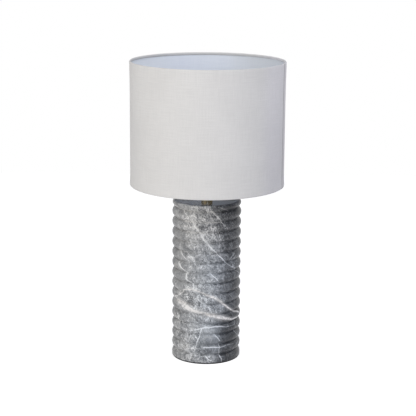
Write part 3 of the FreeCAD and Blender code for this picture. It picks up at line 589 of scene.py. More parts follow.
    def netted(self, surface: Surface, streaked: Socket, crackle: Socket, value: Socket) -> Socket:
        """Lays curling pale and dark hair lines over the ground's value.

        Args:
            surface: The material's graph.
            streaked: The point, pushed about and drawn out along the stone's grain.
            crackle: How crackled the stone is.
            value: How light the ground is.

        Returns:
            The value with its lines.
        """
        for index, net in enumerate(self.nets):
            apart = surface.vector("ADD", streaked, (self.nets_apart * index, 0.0, 0.0))
            curls = surface.cloud(apart, Noise(net.scale, net.detail))
            off = surface.math("ABSOLUTE", surface.math("SUBTRACT", curls, 0.5))
            line = surface.ease(off, 0.0, net.width, 1.0, 0.0)
            coarse = Noise(self.gate_scale + self.gate_step * index, net.detail, self.gate_roughness)
            spread = surface.cloud(apart, coarse)
            gate = surface.math("ADD", spread, surface.math("MULTIPLY", crackle, self.gate_crackle))
            share = surface.math("MULTIPLY", line, surface.ease(gate, *self.gate_range, 0.0, net.reach))
            value = surface.math("ADD", value, share)
        return value


@dataclass(frozen=True)
class LinenFinish(Finish):
    """Pale linen with uneven threads and a dark line at the seam's edge, its glue line with painted shadow.

    Its right side has painted cool light, bluer and lighter at the top than at the foot, as in the photo.
    """

    name: str = "pale_linen"
    colour: Colour = (0.695, 0.69, 0.685)
    thick_thread: Colour = (0.752, 0.746, 0.74)
    gap: Colour = (0.575, 0.57, 0.565)
    gap_share: float = 0.45
    gap_range: Point = (0.2, 0.7)
    slow_noise: Noise = Noise(9.0, 4.0, 0.55)
    slow_share: float = 0.22
    # the seam line is the glue line with painted shadow beside the lap's edge
    seam: Colour = (0.33, 0.315, 0.305)
    seam_glue_and_shadow_share: float = 0.58
    # painted cool light on the right side, lighter towards the top
    painted_cool_light: Colour = (0.995, 0.99, 1.025)
    painted_light_side_from: Point = (0.09, 0.125)
    painted_light_height_from: Point = (0.38, 0.58)
    painted_light_by: Point = (-0.055, 0.065)
    relief: float = 0.35
    depth: float = 0.0003

    def paint(self, surface: Surface) -> Paint:
        """Adds the finish's nodes.

        Args:
            surface: The material's graph.

        Returns:
            The shader's inputs, by name, and the relief's height.
        """
        weave = surface.weave()
        colour = surface.mix(weave.outputs["Shade"], self.colour, self.thick_thread)
        between = surface.ease(weave.outputs["Thread"], *self.gap_range, self.gap_share, 0.0)
        slow = surface.ease(surface.cloud(surface.place, self.slow_noise), *MIDDLE_RANGE, 0.0, self.slow_share)
        # seam line: glue line with painted shadow beside the lap's edge
        line = surface.ease(surface.attribute("seam"), 0.0, 1.0, self.seam_glue_and_shadow_share, 0.0)
        for share, other in ((between, self.gap), (slow, self.gap), (line, self.seam)):
            colour = surface.mix(share, colour, other)
        # painted cool light on the right side, lighter towards the top
        right = surface.ease(surface.part(surface.place, 0), *self.painted_light_side_from)
        high = surface.ease(surface.part(surface.place, 2), *self.painted_light_height_from, *self.painted_light_by)
        lift = surface.math("ADD", surface.math("MULTIPLY", right, high), 1.0)
        colour = surface.vector("MULTIPLY", colour, surface.mix(right, WHITE, self.painted_cool_light))
        inputs = {
            "Base Color": surface.vector("MULTIPLY", colour, lift),
            "Roughness": Polish.NAPPED.value,
            "Specular IOR Level": 0.2,
            "Sheen Weight": 0.12,
            "Sheen Roughness": 0.4,
        }
        return inputs, weave.outputs["Height"]


@dataclass(frozen=True)
class LiningFinish(Finish):
    """Bluish white lining sheet with a soft sheen and a trace of the weave behind it, with painted light to its left
    and painted shade to its right.
    """

    name: str = "white_lining"
    # painted light and shade: the ramp runs from lit on the left to shaded on the right
    colours: Stops = (
        (0.0, (0.9, 0.94, 0.985)),
        (0.25, (0.82, 0.86, 0.94)),
        (0.7, (0.82, 0.86, 0.93)),
        (0.9, (0.765, 0.795, 0.84)),
    )
    half_width: float = 0.15
    weave_shade: Colour = (0.95, 0.96, 0.97)
    relief: float = 0.08
    depth: float = 0.0001

    def paint(self, surface: Surface) -> Paint:
        """Adds the finish's nodes.

        Args:
            surface: The material's graph.

        Returns:
            The shader's inputs, by name, and the relief's height.
        """
        weave = surface.weave()
        # painted light on the left and painted shade on the right of the lining
        across = surface.ease(surface.part(surface.place, 0), -self.half_width, self.half_width)
        colour = surface.ramp(across, self.colours)
        shaded = surface.vector("MULTIPLY", colour, self.weave_shade)
        colour = surface.mix(weave.outputs["Shade"], colour, shaded)
        inputs = {"Base Color": colour, "Roughness": Polish.EGGSHELL.value, "Specular IOR Level": 0.3}
        return inputs, weave.outputs["Height"]


@dataclass(frozen=True)
class ClearGlassFinish(Finish):
    """Clear glass with faint waves in it."""

    name: str = "clear_glass"
    tint: Colour = (0.95, 0.98, 0.97)
    waves: float = 300.0
    relief: float = 0.05
    depth: float = 0.0001

    def paint(self, surface: Surface) -> Paint:
        """Adds the finish's nodes.

        Args:
            surface: The material's graph.

        Returns:
            The shader's inputs, by name, and the relief's height.
        """
        waves = surface.use(GRAIN, Scale=self.waves).outputs["Height"]
        inputs = {"Base Color": self.tint, "Transmission Weight": 0.95, "Roughness": Polish.MIRROR.value, "IOR": 1.5}
        return inputs, waves


@dataclass(frozen=True)
class FeltFinish(Finish):
    """Pressed felt: fibres lying every way."""

    name: str = "dark_felt"
    colour: Colour = (0.012, 0.012, 0.013)
    lint: Colour = (0.03, 0.03, 0.031)
    lint_range: Point = (0.45, 0.7)
    fibres: Noise = Noise(1300.0, 6.0, 0.75)
    relief: float = 0.6
    depth: float = 0.0006

    def paint(self, surface: Surface) -> Paint:
        """Adds the finish's nodes.

        Args:
            surface: The material's graph.

        Returns:
            The shader's inputs, by name, and the relief's height.
        """
        fibres = surface.cloud(surface.place, self.fibres)
        colour = surface.mix(surface.ease(fibres, *self.lint_range), self.colour, self.lint)
        inputs = {"Base Color": colour, "Roughness": Polish.NAPPED.value, "Sheen Weight": 0.05}
        return inputs, fibres


FINISHES: dict[str, Finish] = {
    "marble": MarbleFinish(),
    "linen": LinenFinish(),
    "lining_sheet": LiningFinish(),
    "felt": FeltFinish(),
    "clear_glass": ClearGlassFinish(),
    "green_yellow_insulation": StripedInsulation(),
    "neck_brass": PlainFinish(
        "satin_brass", (0.62, 0.5, 0.28), (0.52, 0.4, 0.2), Polish.POLISHED, 1.0, 2600.0, 0.05, lanes=True
    ),
    "contact_brass": PlainFinish("contact_brass", (0.78, 0.58, 0.27), (0.66, 0.46, 0.2), Polish.SATIN, 1.0, 1500.0),
    "zinc_steel": PlainFinish(
        "zinc_plated_steel", (0.62, 0.63, 0.64), (0.5, 0.51, 0.5), Polish.SATIN, 1.0, 1100.0, dust=0.2
    ),
    "white_coated_steel": PlainFinish(
        "white_powder_coat", (0.82, 0.82, 0.8), (0.76, 0.76, 0.73), Polish.EGGSHELL, 0.0, 1800.0, 0.3, dust=0.15
    ),
    "holder_black": PlainFinish(
        "black_phenolic", (0.012, 0.012, 0.013), (0.02, 0.019, 0.019), Polish.SATIN, 0.0, 700.0, 0.1, dust=0.25
    ),
    "porcelain": PlainFinish(
        "glazed_porcelain", (0.84, 0.82, 0.77), (0.78, 0.76, 0.7), Polish.POLISHED, 0.0, 260.0, coat=0.4
    ),
    "bush_plastic": PlainFinish("black_bush", (0.02, 0.02, 0.021), (0.03, 0.03, 0.03), Polish.EGGSHELL),
    "block_plastic": PlainFinish("white_block", (0.78, 0.78, 0.74), (0.7, 0.7, 0.66), Polish.SATIN),
    "brown_insulation": PlainFinish("brown_insulation", (0.13, 0.05, 0.02), (0.16, 0.07, 0.03), Polish.SATIN),
    "blue_insulation": PlainFinish("blue_insulation", (0.02, 0.12, 0.42), (0.03, 0.15, 0.48), Polish.SATIN),
    "cap_metal": PlainFinish("nickel_plated_cap", (0.7, 0.68, 0.64), (0.62, 0.6, 0.55), Polish.SATIN, 1.0, 1600.0),
    "black_glass": PlainFinish("black_glass", (0.01, 0.01, 0.012), (0.02, 0.02, 0.022), Polish.POLISHED),
    "opal_glass": PlainFinish(
        "opal_glass", (0.88, 0.88, 0.85), (0.84, 0.84, 0.8), Polish.SATIN, 0.0, 220.0, 0.03, coat=0.3
    ),
    "phosphor": PlainFinish("phosphor", (0.85, 0.62, 0.1), (0.8, 0.55, 0.07), Polish.MATTE, grain=2400.0),
}
MATERIALS = {slot: finish.material() for slot, finish in FINISHES.items()}


def dress(thing: Thing, slot: str) -> None:
    """Gives a piece the material of a slot.

    Args:
        thing: The piece.
        slot: The slot's name.
    """
    thing.data.materials.clear()
    thing.data.materials.append(MATERIALS[slot])


def keep_nodes(nodes_by_slot: dict[str, Sequence[str]]) -> None:
    """Dresses CAD nodes whose shapes are already right.

    Args:
        nodes_by_slot: The nodes' names, by slot.
    """
    for slot, nodes in nodes_by_slot.items():
        for node in nodes:
            dress(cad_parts[node], slot)
            log.info("kept %s in %s", node, slot)


def hand_over(thing: Thing, body: Body, slot: str, *nodes: str) -> None:
    """Dresses a new piece, fixes it to its body, and hides the CAD nodes it stands for.

    Args:
        thing: The piece.
        body: The body it moves with.
        slot: Its slot.
        nodes: The CAD nodes it replaces.
    """
    dress(thing, slot)
    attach(thing, body.value)
    if nodes:
        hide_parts(*nodes)
    log.info("made %s with %d faces", thing.name, len(thing.data.polygons))


def smooth(thing: Thing, angle: float = SHARP_ANGLE) -> None:
    """Shades a piece smoothly, apart from its sharp edges."""
    thing.data.polygons.foreach_set("use_smooth", np.ones(len(thing.data.polygons), bool))
    thing.data.set_sharp_from_angle(angle=angle)


def thing_of(name: str, data: bpy.types.ID) -> Thing:
    """Puts a mesh, a light or a camera in the scene as an object.

    Args:
        name: The object's name.
        data: What it shows.

    Returns:
        The object.
    """
    thing = bpy.data.objects.new(name, data)
    bpy.context.scene.collection.objects.link(thing)
    return thing


def thing_from_shape(name: str, shape: bmesh.types.BMesh) -> Thing:
    """Puts a shape under construction in the scene, and frees it.

    Args:
        name: The object's name.
        shape: The shape.

    Returns:
        The object.
    """
    mesh = bpy.data.meshes.new(name)
    shape.to_mesh(mesh)
    shape.free()
    return thing_of(name, mesh)


def new_thing(name: str, points: np.ndarray, faces: Sequence[Sequence[int]]) -> Thing:
    """Makes an object from points in metres and faces.

    Args:
        name: The object's name.
        points: Rows of x, y and z.
        faces: The points' numbers, face by face.

    Returns:
        The object.
    """
    mesh = bpy.data.meshes.new(name)
    mesh.from_pydata(points.tolist(), [], faces)
    mesh.validate()
    return thing_of(name, mesh)


def on_circle(radius: float, angle: float, height: float) -> Place:
    """A place in metres, from a radius and height in millimetres and an angle in radians."""
    return radius * MM * math.cos(angle), radius * MM * math.sin(angle), height * MM


def arc(centre: Point, radius: float, start: float, end: float, steps: int) -> list[Point]:
    """Points of an arc, with angles in degrees; the last point is left out."""
    angles = np.radians(np.linspace(start, end, steps, endpoint=False))
    return [(centre[0] + radius * math.cos(a), centre[1] + radius * math.sin(a)) for a in angles]


def from_angle(angle: np.ndarray, start: float) -> np.ndarray:
    """How far angles lie from another one, the shorter way round, in degrees."""
    return (angle - start + 180) % 360 - 180


def turned(name: str, outline: Sequence[Point], angles: np.ndarray) -> Thing:
    """Turns a closed outline about the vertical axis.

    Args:
        name: The piece's name.
        outline: Points of (radius, height) in millimetres, counter-clockwise with the radius to the right.
        angles: Where the steps lie round the axis, in radians.

    Returns:
        The piece, shaded smoothly.
    """
    segments = len(angles)
    rings: list[list[int]] = []
    points: list[Place] = []
    for radius, height in ((r * MM, z * MM) for r, z in outline):
        first = len(points)
        if radius < TINY:
            points.append((0.0, 0.0, height))
            rings.append([first] * segments)
        else:
            points.extend((radius * math.cos(a), radius * math.sin(a), height) for a in angles)
            rings.append(list(range(first, first + segments)))
    faces = []
    for low, high in zip(rings, rings[1:] + rings[:1]):
        for i in range(segments):
            j = (i + 1) % segments
            corners = dict.fromkeys((low[i], low[j], high[j], high[i]))
            if len(corners) > 2:
                faces.append(list(corners))
    thing = new_thing(name, np.array(points), faces)
    smooth(thing)
    return thing


def carve(thing: Thing, cutters: Sequence[Thing]) -> None:
    """Cuts the cutters out of a piece and removes them.

    Args:
        thing: The piece.
        cutters: What to cut out of it.
    """
    for cutter in cutters:
        modifier = thing.modifiers.new("cut", "BOOLEAN")
        modifier.object = cutter
        modifier.solver = "EXACT"
    bpy.context.view_layer.update()
    shaped = thing.evaluated_get(bpy.context.evaluated_depsgraph_get())
    mesh = bpy.data.meshes.new_from_object(shaped)
    thing.modifiers.clear()
    old, thing.data = thing.data, mesh
    bpy.data.meshes.remove(old)
    for cutter in cutters:
        bpy.data.objects.remove(cutter)


def number_layer(thing: Thing, name: str, values: np.ndarray) -> None:
    """Keeps one number for each point of a piece, for its material."""
    layer = thing.data.attributes.new(name, "FLOAT", "POINT")
    layer.data.foreach_set("value", values.astype(np.float32))


def points_of(thing: Thing) -> np.ndarray:
    """The points of a piece as rows of x, y and z.

    Args:
        thing: The piece.

    Returns:
        The points, in metres.
    """
    points = np.zeros(len(thing.data.vertices) * 3, np.float32)
    thing.data.vertices.foreach_get("co", points)
    return points.reshape(-1, 3).astype(float)


VEIN_RADIUS = 65.5
DEGREE_OF_STONE = math.radians(1) * VEIN_RADIUS
FAR_FROM_VEINS = 9.0


@dataclass(frozen=True)
class Vein:
    """A vein on the column's face, as (degrees from the front towards +X, millimetres up) points.

    Its width in millimetres changes evenly from its first point to its last one.
    """

    first: float
    last: float
    path: tuple[Point, ...]


@dataclass(frozen=True)
class Patch:
    """A part of the stone that differs, at an angle and height, with its reach in millimetres."""

    angle: float
    height: float
    across: float
    up: float
    amount: float


@dataclass(frozen=True)
class Shading:
    """The stone's slow change from its pale side to its dark side, whose edges are (height, degrees) points."""

    pale: float = 0.69
    dark: float = 0.1
    soft: float = 6.0
    front_edge: tuple[Point, ...] = (
        (0, 22), (30, 23), (66, 28), (86, 27), (104, 35), (130, 32), (160, 25),
        (200, 25), (230, 23), (262, 24), (290, 22), (317, 17),
    )
    back_edge: tuple[Point, ...] = ((0, 176), (70, 160), (150, 190), (230, 172), (317, 200))

    def ground(self, angle: np.ndarray, height: np.ndarray) -> np.ndarray:
        """How light the stone is at each point, before its patches.

        Args:
            angle: Each point's angle from the front, in degrees.
            height: Each point's height in millimetres.

        Returns:
            The stone's tone.
        """
        turn = (angle + 90) % 360 - 90
        front = np.interp(height, *zip(*self.front_edge))
        back = np.interp(height, *zip(*self.back_edge))
        into = 1 / (1 + np.exp(-(turn - front) / self.soft))
        out = 1 / (1 + np.exp(-(back - turn) / (2 * self.soft)))
        return self.pale + (self.dark - self.pale) * (into * out)


def listed(kind: type, *rows: tuple) -> tuple:
    """Veins or patches, from rows of their values."""
    return tuple(kind(*row) for row in rows)


BROAD_VEINS = listed(
    Vein,
    (5, 10, ((-96, 124), (-80, 124), (-64, 122), (-52, 119.5), (-44, 116.5))),
    (10, 8.5, ((-44, 116.5), (-36, 113), (-28, 109.5), (-20, 106.5), (-12, 105))),
    (8.5, 7.5, ((-12, 105), (-7, 104), (3.4, 101.3), (19, 96.3))),
    (7.5, 3, ((19, 96.3), (32.4, 91.3), (48.4, 85.6), (67.5, 84))),
    (1.4, 2.2, ((-64, 129), (-57.3, 129.5), (-48.6, 137.8), (-40.1, 146.9), (-32.6, 149.5))),
    (2.4, 3.4, ((-32.6, 149.5), (-24.8, 150), (-15.7, 149), (-7, 144.5), (0, 140), (6.5, 137.4))),
    (3.4, 4.6, ((6.5, 137.4), (12.4, 136), (17.7, 132.3), (24, 127))),
    (4.6, 3, ((24, 127), (32.7, 118.4), (40.8, 110.5), (47, 105))),
    (3, 6, ((67.5, 84), (90, 84), (115, 80), (140, 86), (165, 99))),
    (6, 7, ((165, 99), (190, 111), (215, 120), (240, 125), (264, 123))),
    (3, 2, ((47, 105), (58, 99), (72, 94), (84, 86), (98, 83))),
)
FINE_VEINS = listed(
    Vein,
    (1, 1.2, ((-82, 313), (-62, 308), (-49, 306), (-35, 297), (-27.2, 286))),
    (3, 2.4, ((-27.2, 286), (-23, 281), (-18.9, 274.8), (-14.9, 269.3), (-11.6, 263.6), (-7.8, 257.1), (-4.5, 250.5))),
    (2.4, 2, ((-4.5, 250.5), (-1, 246), (2.5, 242), (5.4, 237.2), (10.4, 231.1), (16.9, 224.7),
              (21.7, 217.8), (27, 211.6))),
    (2, 1.2, ((27, 211.6), (32.5, 205.5), (39.8, 198.1), (45, 193.3), (54, 189), (74, 172), (96, 150))),
    (2, 3.2, ((-56, 199), (-50, 193.6), (-45.2, 189.5))),
    (3.2, 2.2, ((-45.2, 189.5), (-39.9, 185.4), (-36.5, 180.8), (-35.7, 175), (-35.3, 169.7),
                (-31.1, 165.9), (-26.6, 162.5), (-22.4, 159))),
    (1.5, 1, ((-48, 219), (-38, 211), (-28, 205), (-19, 199))),
    (1.2, 1, ((-65, 153.5), (-57.4, 145.5), (-54.2, 138.3), (-48.5, 134.7))),
    (2.2, 1.2, ((7.3, 306.8), (12.4, 302.2), (16.4, 296.8), (20.4, 292), (28.1, 281.6), (32.6, 275.1), (37.3, 269.9))),
    (0.9, 0.9, ((22.9, 312.5), (29.3, 309.6), (36.9, 307.1), (41.9, 301.8))),
    (1.4, 1, ((1.9, 317.5), (2.6, 309.8), (3.5, 303.9))),
    (1.3, 1, ((7.5, 283), (7.5, 270))),
    (1.2, 1, ((21.3, 266), (22, 259.3), (22.8, 251.8), (26.3, 247.7))),
    (1.2, 1, ((28.9, 240.6), (33, 234), (37.1, 227.4))),
    (1.4, 1.1, ((55, 218.4), (49.6, 214.3), (45, 211), (41.4, 207.8))),
    (1.2, 1, ((48.9, 197.7), (53.1, 193), (55.4, 188.6))),
    (2, 1.5, ((6.2, 184), (9.5, 180), (14.7, 175.2), (18.7, 170.3))),
    (1.2, 1.2, ((0.2, 134), (1.5, 127))),
    (1.4, 1.2, ((3.5, 116.7), (7.4, 109), (9.4, 105))),
    (1.6, 1.3, ((-28, 67), (-17, 69.7), (-6.7, 73.5), (0.1, 75), (5.9, 74.4), (17.1, 76), (26.7, 75.3))),
    (1.6, 1.2, ((26.7, 75.3), (35.5, 72.6), (43.6, 72.7), (55.1, 72.4), (59.7, 75), (68, 84))),
    (1.3, 1.3, ((55.9, 80.2), (58.8, 67.5), (61.1, 61.7), (61.4, 55), (65.8, 49.1), (71, 42))),
    (1.2, 1.6, ((76, 34), (71.9, 32), (63.4, 29.2), (56, 27.1), (53.9, 24.2), (54, 18.8))),
    (1.1, 1.5, ((56.8, 32.8), (47.6, 34.1), (37.2, 34.5), (33, 33.8), (24.6, 32.4), (12.4, 34.2), (-4, 33.6))),
    (1.3, 1.7, ((23.2, 39.6), (24, 33.3), (22, 27.7), (23.4, 21.1), (24.7, 14.7), (26.9, 9.4), (27.3, 2.7))),
    (1.6, 1.2, ((14, 60), (19.2, 54.5), (24.5, 46.4))),
    (1.4, 1, ((0.5, 15), (5, 9.3), (12.7, 5.8))),
    (1.6, 1.6, ((-6.7, 73.5), (-10.1, 62.5), (-11.7, 53.5), (-16.3, 41.4), (-17.5, 33.9))),
    (0.9, 1.6, ((96, 150), (120, 133), (138, 121), (150, 108))),
    (1.5, 1.2, ((118, 318), (131, 292), (150, 268), (168, 246), (188, 222), (206, 209), (228, 203))),
    (1, 1.3, ((262, 232), (244, 246), (226, 262), (212, 286), (205, 318))),
    (1.2, 1.5, ((100, 62), (124, 53), (150, 40), (176, 22), (188, 3))),
    (1.6, 1.1, ((208, 82), (226, 62), (246, 42), (266, 14))),
    (1.2, 1.4, ((160, 190), (172, 176), (190, 168), (214, 160), (236, 146))),
    (1.3, 1, ((92, 262), (104, 240), (110, 216), (122, 200))),
)
DARK_VEINS = listed(
    Vein,
    (1.3, 1, ((-64, 134), (-53, 133), (-46, 129.5), (-39, 127), (-33, 123.6), (-27, 119.5), (-20, 115.3))),
    (1.1, 0.9, ((-47, 195), (-43.4, 191.4), (-39, 187.5), (-33.4, 186.7), (-26.7, 186.7), (-19.8, 185.7))),
    (1.2, 1, ((140, 150), (158, 146), (180, 156), (196, 152))),
)
VEINS = {VeinKind.BROAD: BROAD_VEINS, VeinKind.FINE: FINE_VEINS, VeinKind.DARK: DARK_VEINS}
TONE_PATCHES = listed(
    Patch,
    # The first two patches are painted shade along the column's left and right outlines.
    (-84, 160, 22, 400, -0.26), (92, 160, 18, 400, -0.1), (-64, 296, 16, 16, 0.06), (-66, 240, 16, 30, -0.05),
    (-44, 258, 9, 12, -0.08), (-14, 305, 10, 9, 0.1), (-28, 292, 12, 22, 0.05), (-4, 306, 8, 8, -0.1),
    (-26, 254, 12, 26, 0.05), (-28, 205, 9, 26, 0.05), (-3, 224, 9, 22, -0.16), (50, 196, 34, 56, 0.23),
    (52, 228, 16, 12, -0.05), (38, 205, 9, 12, -0.08), (66, 300, 24, 24, -0.02), (52, 92, 16, 9, 0.08),
    (-28, 155, 11, 14, 0.12), (34, 150, 10, 14, 0.08), (52, 122, 16, 18, 0.2), (-14, 122, 12, 14, 0.05),
    (-51, 156, 9, 20, -0.05), (-24, 146, 26, 9, 0.07), (-60, 138, 10, 10, 0.07), (-56, 103, 16, 12, -0.12),
    (40, 104, 16, 10, -0.06), (-12, 82, 20, 8, 0.05), (9, 60, 10, 28, 0.03), (-43, 50, 10, 38, -0.08),
    (-30, 20, 12, 14, 0.09), (0, 28, 12, 22, -0.2), (42, 60, 20, 22, -0.05), (42, 12, 20, 14, -0.05),
    (150, 230, 45, 60, -0.1), (200, 60, 50, 50, 0.06), (240, 270, 40, 50, 0.06), (120, 60, 30, 40, -0.1),
)
CRACKLE_PATCHES = listed(
    Patch,
    (8, 288, 26, 34, 1.5), (-14, 128, 34, 22, 0.9), (-40, 40, 30, 50, 0.35), (-10, 12, 40, 14, 0.3),
    (30, 220, 30, 40, 0.4), (-52, 156, 12, 22, -1.5), (-64, 250, 22, 60, -0.5), (8, 54, 18, 20, -0.7),
    (46, 48, 26, 40, -0.2), (50, 280, 26, 40, 0.5), (180, 200, 60, 60, 0.8), (230, 90, 50, 50, -0.6),
)
COOL_PATCHES = listed(
    Patch,
    (20, 200, 60, 60, 0.6), (20, 90, 70, 90, 0.7), (10, 30, 60, 50, 0.3), (180, 120, 80, 140, 0.6),
    (0, 318, 300, 6, -1),
)


@dataclass
class MarbleColumn:
    """The turned marble column, from its felt-padded foot to its polished top."""

    foot: float = 1.5
    top: float = 317.0
    radius: float = 67.5
    rib_pitch: float = 20.45
    rib_depth: float = 6.5
    rib_land: float = 0.6
    top_rib_height: float = 13.0
    edge_radius: float = 5.0
    edge_steps: int = 10
    top_rings: tuple[float, ...] = (50.0, 36.0, 22.0)
    bore: float = 7.0
    bore_chamfer: float = 0.6
    recess: float = 29.0
    recess_top: float = 31.5
    foot_ring: float = 48.0
    foot_band_inset: float = 0.1
    foot_band_from: float = 1.2
    foot_band_below: float = 1.0
    foot_band_steps: int = 5
    foot_chamfer: float = 0.4
    outlet_height: float = 12.5
    outlet_radius: float = 5.2
    outlet_start: float = 20.0
    seat_radius: float = 7.6
    seat_face: float = 62.5
    drill_steps: int = 48
    drill_over: float = 10.0
    front_steps: int = 260
    back_steps: int = 124
    rib_steps: int = 22
    wander: float = 0.16
    wander_from: float = 52.0
    dips: tuple[Point, ...] = ((24, 0.6), (90, 0.4))
    # painted light in the grooves, lightening the stone where shade falls between the ribs
    painted_groove_light: float = 0.1
    painted_groove_light_power: float = 1.5
    painted_groove_light_below: float = 1.0
    foot_shadow: float = 0.7
    foot_shadow_height: float = 3.4
    foot_shadow_soft: float = 0.8
    # painted shade on the top face, which lies under the lampshade
    painted_top_shade: float = -0.3
    painted_top_shade_within: float = 0.2
    # a painted highlight along the rounded top edge
    painted_edge_highlight: float = 0.12
    painted_edge_highlight_below: float = 2.5
    painted_edge_highlight_reach: float = 1.6
    shading: Shading = Shading()

    def outside(self) -> list[Point]:
        """The outer side of the column's outline, upwards, in millimetres.

        Returns:
            Points of (radius, height).
        """
        half = (self.rib_pitch - self.rib_land) / 2
        arc_radius = (half * half + self.rib_depth**2) / (2 * self.rib_depth)
        middle = self.radius - arc_radius
        swing = math.degrees(math.asin(half / arc_radius))
        centre = self.top - self.top_rib_height + self.rib_pitch / 2
        centres = []
        while centre + half > self.foot:
            centres.append(centre)
            centre -= self.rib_pitch
        points: list[Point] = []
        for index, height in enumerate(reversed(centres)):
            start, end = -swing, swing
            if index == 0:
                start = 0.0
                band = self.radius - self.foot_band_inset
                points += [(band - self.foot_chamfer, self.foot), (band, self.foot + self.foot_chamfer)]
                low, high = self.foot + self.foot_band_from, height - self.foot_band_below
                points += [(band, float(z)) for z in np.linspace(low, high, self.foot_band_steps)]
            if index == len(centres) - 1:
                drop = height - (self.top - self.edge_radius)
                end = -math.degrees(math.asin(drop / (arc_radius - self.edge_radius)))
            points += arc((middle, height), arc_radius, start, end, self.rib_steps)
            if index < len(centres) - 1:
                points.append((self.radius - self.rib_depth, height + half))
        rounding = middle + math.sqrt((arc_radius - self.edge_radius) ** 2 - drop * drop)
        points += arc((rounding, self.top - self.edge_radius), self.edge_radius, end, 90, self.edge_steps)
        points.append((rounding, self.top))
        return points

    def outline(self) -> list[Point]:
        """The column's whole closed outline, in millimetres.

        Returns:
            Points of (radius, height).
        """
        inward = [(r, self.top) for r in (*self.top_rings, self.bore + self.bore_chamfer)]
        inside = [(self.bore, self.top - self.bore_chamfer), (self.bore, self.recess_top)]
        under = [(self.recess, self.recess_top), (self.recess, self.foot), (self.foot_ring, self.foot)]
        return self.outside() + inward + inside + under

    def build(self) -> None:
        """Turns the column, cuts its cord outlet, and keeps its veins and tones, painted light and shade among them,
        on the mesh.
        """
        back = np.linspace(0, math.pi, self.back_steps, endpoint=False)
        front = np.linspace(math.pi, 2 * math.pi, self.front_steps, endpoint=False)
        column = turned("marble_column", self.outline(), np.concatenate([back, front]))
        self.roughen(column)
        carve(column, self.outlet_cutters())
        smooth(column)
        points = points_of(column) / MM
        angle, height = np.degrees(np.arctan2(points[:, 0], -points[:, 1])), points[:, 2]
        for kind in VeinKind:
            number_layer(column, kind.value, self.vein_distance(kind, angle, height))
        # the tone takes painted light and shade from bloom and from the first two tone patches
        bloom = self.bloom(np.hypot(points[:, 0], points[:, 1]), height)
        tone = self.shading.ground(angle, height)
        tone += self.patch_field(TONE_PATCHES, angle, height) + bloom
        number_layer(column, "tone", tone)
        number_layer(column, "crackle", self.patch_field(CRACKLE_PATCHES, angle, height))
        number_layer(column, "cool", np.clip(self.patch_field(COOL_PATCHES, angle, height), 0, 1))
        hand_over(column, Body.STAND, "marble", "stone_column")

    def bloom(self, out: np.ndarray, height: np.ndarray) -> np.ndarray:
        """Painted light in the stone's grooves, a painted highlight on its top edge, painted shade on its top face and
        a painted shadow at its foot.

        Args:
            out: Each point's distance from the axis, in millimetres.
            height: Each point's height in millimetres.

        Returns:
            What to add to the stone's tone.
        """
        # painted light in the grooves, against the shade between the ribs
        into_groove = np.clip((self.radius - out) / self.rib_depth, 0, 1)
        grooves = self.painted_groove_light * into_groove**self.painted_groove_light_power
        bloom = np.where(height < self.top - self.painted_groove_light_below, grooves, 0)
        # painted highlight on the rounded top edge
        below = height - self.top + self.painted_edge_highlight_below
        bloom += self.painted_edge_highlight * np.exp(-((below / self.painted_edge_highlight_reach) ** 2))
        # painted shade on the top face
        bloom += np.where(height > self.top - self.painted_top_shade_within, self.painted_top_shade, 0)
        # painted shadow at the foot
        shadow = np.clip((self.foot_shadow_height - height) / self.foot_shadow_soft, 0, 1)
        return bloom - self.foot_shadow * shadow

    def roughen(self, column: Thing) -> None:
        """Lets the turned face wander inwards by a fraction of a millimetre, as hand finishing leaves it.

        Args:
            column: The turned column.
        """
        points = points_of(column)
        out = np.hypot(points[:, 0], points[:, 1])
        between = (points[:, 2] < self.top * MM - TINY) & (points[:, 2] > self.foot * MM + TINY)
        dips = np.array([sum(noise.noise(Vector(p) * scale) * share for scale, share in self.dips) for p in points])
        depth = self.wander * MM * np.clip(0.5 + 0.5 * dips, 0, 1)
        inset = np.where(between & (out > self.wander_from * MM), depth, 0)
        points[:, :2] *= ((out - inset) / np.maximum(out, TINY))[:, None]
        column.data.vertices.foreach_set("co", points.astype(np.float32).ravel())

    def outlet_cutters(self) -> list[Thing]:
        """The drills of the cord outlet: a hole through to the recess and a flat seat for the bush.

        Returns:
            The drills, in place.
        """
        drills = (("hole", self.outlet_radius, self.outlet_start), ("seat", self.seat_radius, self.seat_face))
        cutters = []
        for name, radius, start in drills:
            shape = bmesh.new()
            depth = (self.radius + self.drill_over - start) * MM
            ends = {"radius1": radius * MM, "radius2": radius * MM}
            bmesh.ops.create_cone(shape, cap_ends=True, segments=self.drill_steps, depth=depth, **ends)
            cutter = thing_from_shape(name, shape)
            cutter.rotation_euler.x = math.pi / 2
            cutter.location = (0, start * MM + depth / 2, self.outlet_height * MM)
            cutters.append(cutter)
        return cutters

    def vein_distance(self, kind: VeinKind, angle: np.ndarray, height: np.ndarray) -> np.ndarray:
        """How far each point is from the nearest vein of a kind, in half widths of that vein.

        Args:
            kind: Which veins count.
            angle: Each point's angle from the front, in degrees.
            height: Each point's height in millimetres.

        Returns:
            The distances, at most 9.
        """
        nearest = np.full(len(angle), FAR_FROM_VEINS)
        for vein in VEINS[kind]:
            count = len(vein.path) - 1
            for index, (start, end) in enumerate(zip(vein.path, vein.path[1:])):
                along = np.array([(end[0] - start[0]) * DEGREE_OF_STONE, end[1] - start[1]])
                offset = np.stack([from_angle(angle, start[0]) * DEGREE_OF_STONE, height - start[1]], axis=1)
                share = np.clip(offset @ along / (along @ along), 0, 1)
                distance = np.linalg.norm(offset - share[:, None] * along, axis=1)
                width = vein.first + (vein.last - vein.first) * (index + share) / count
                nearest = np.minimum(nearest, distance / (width / 2))
        return nearest

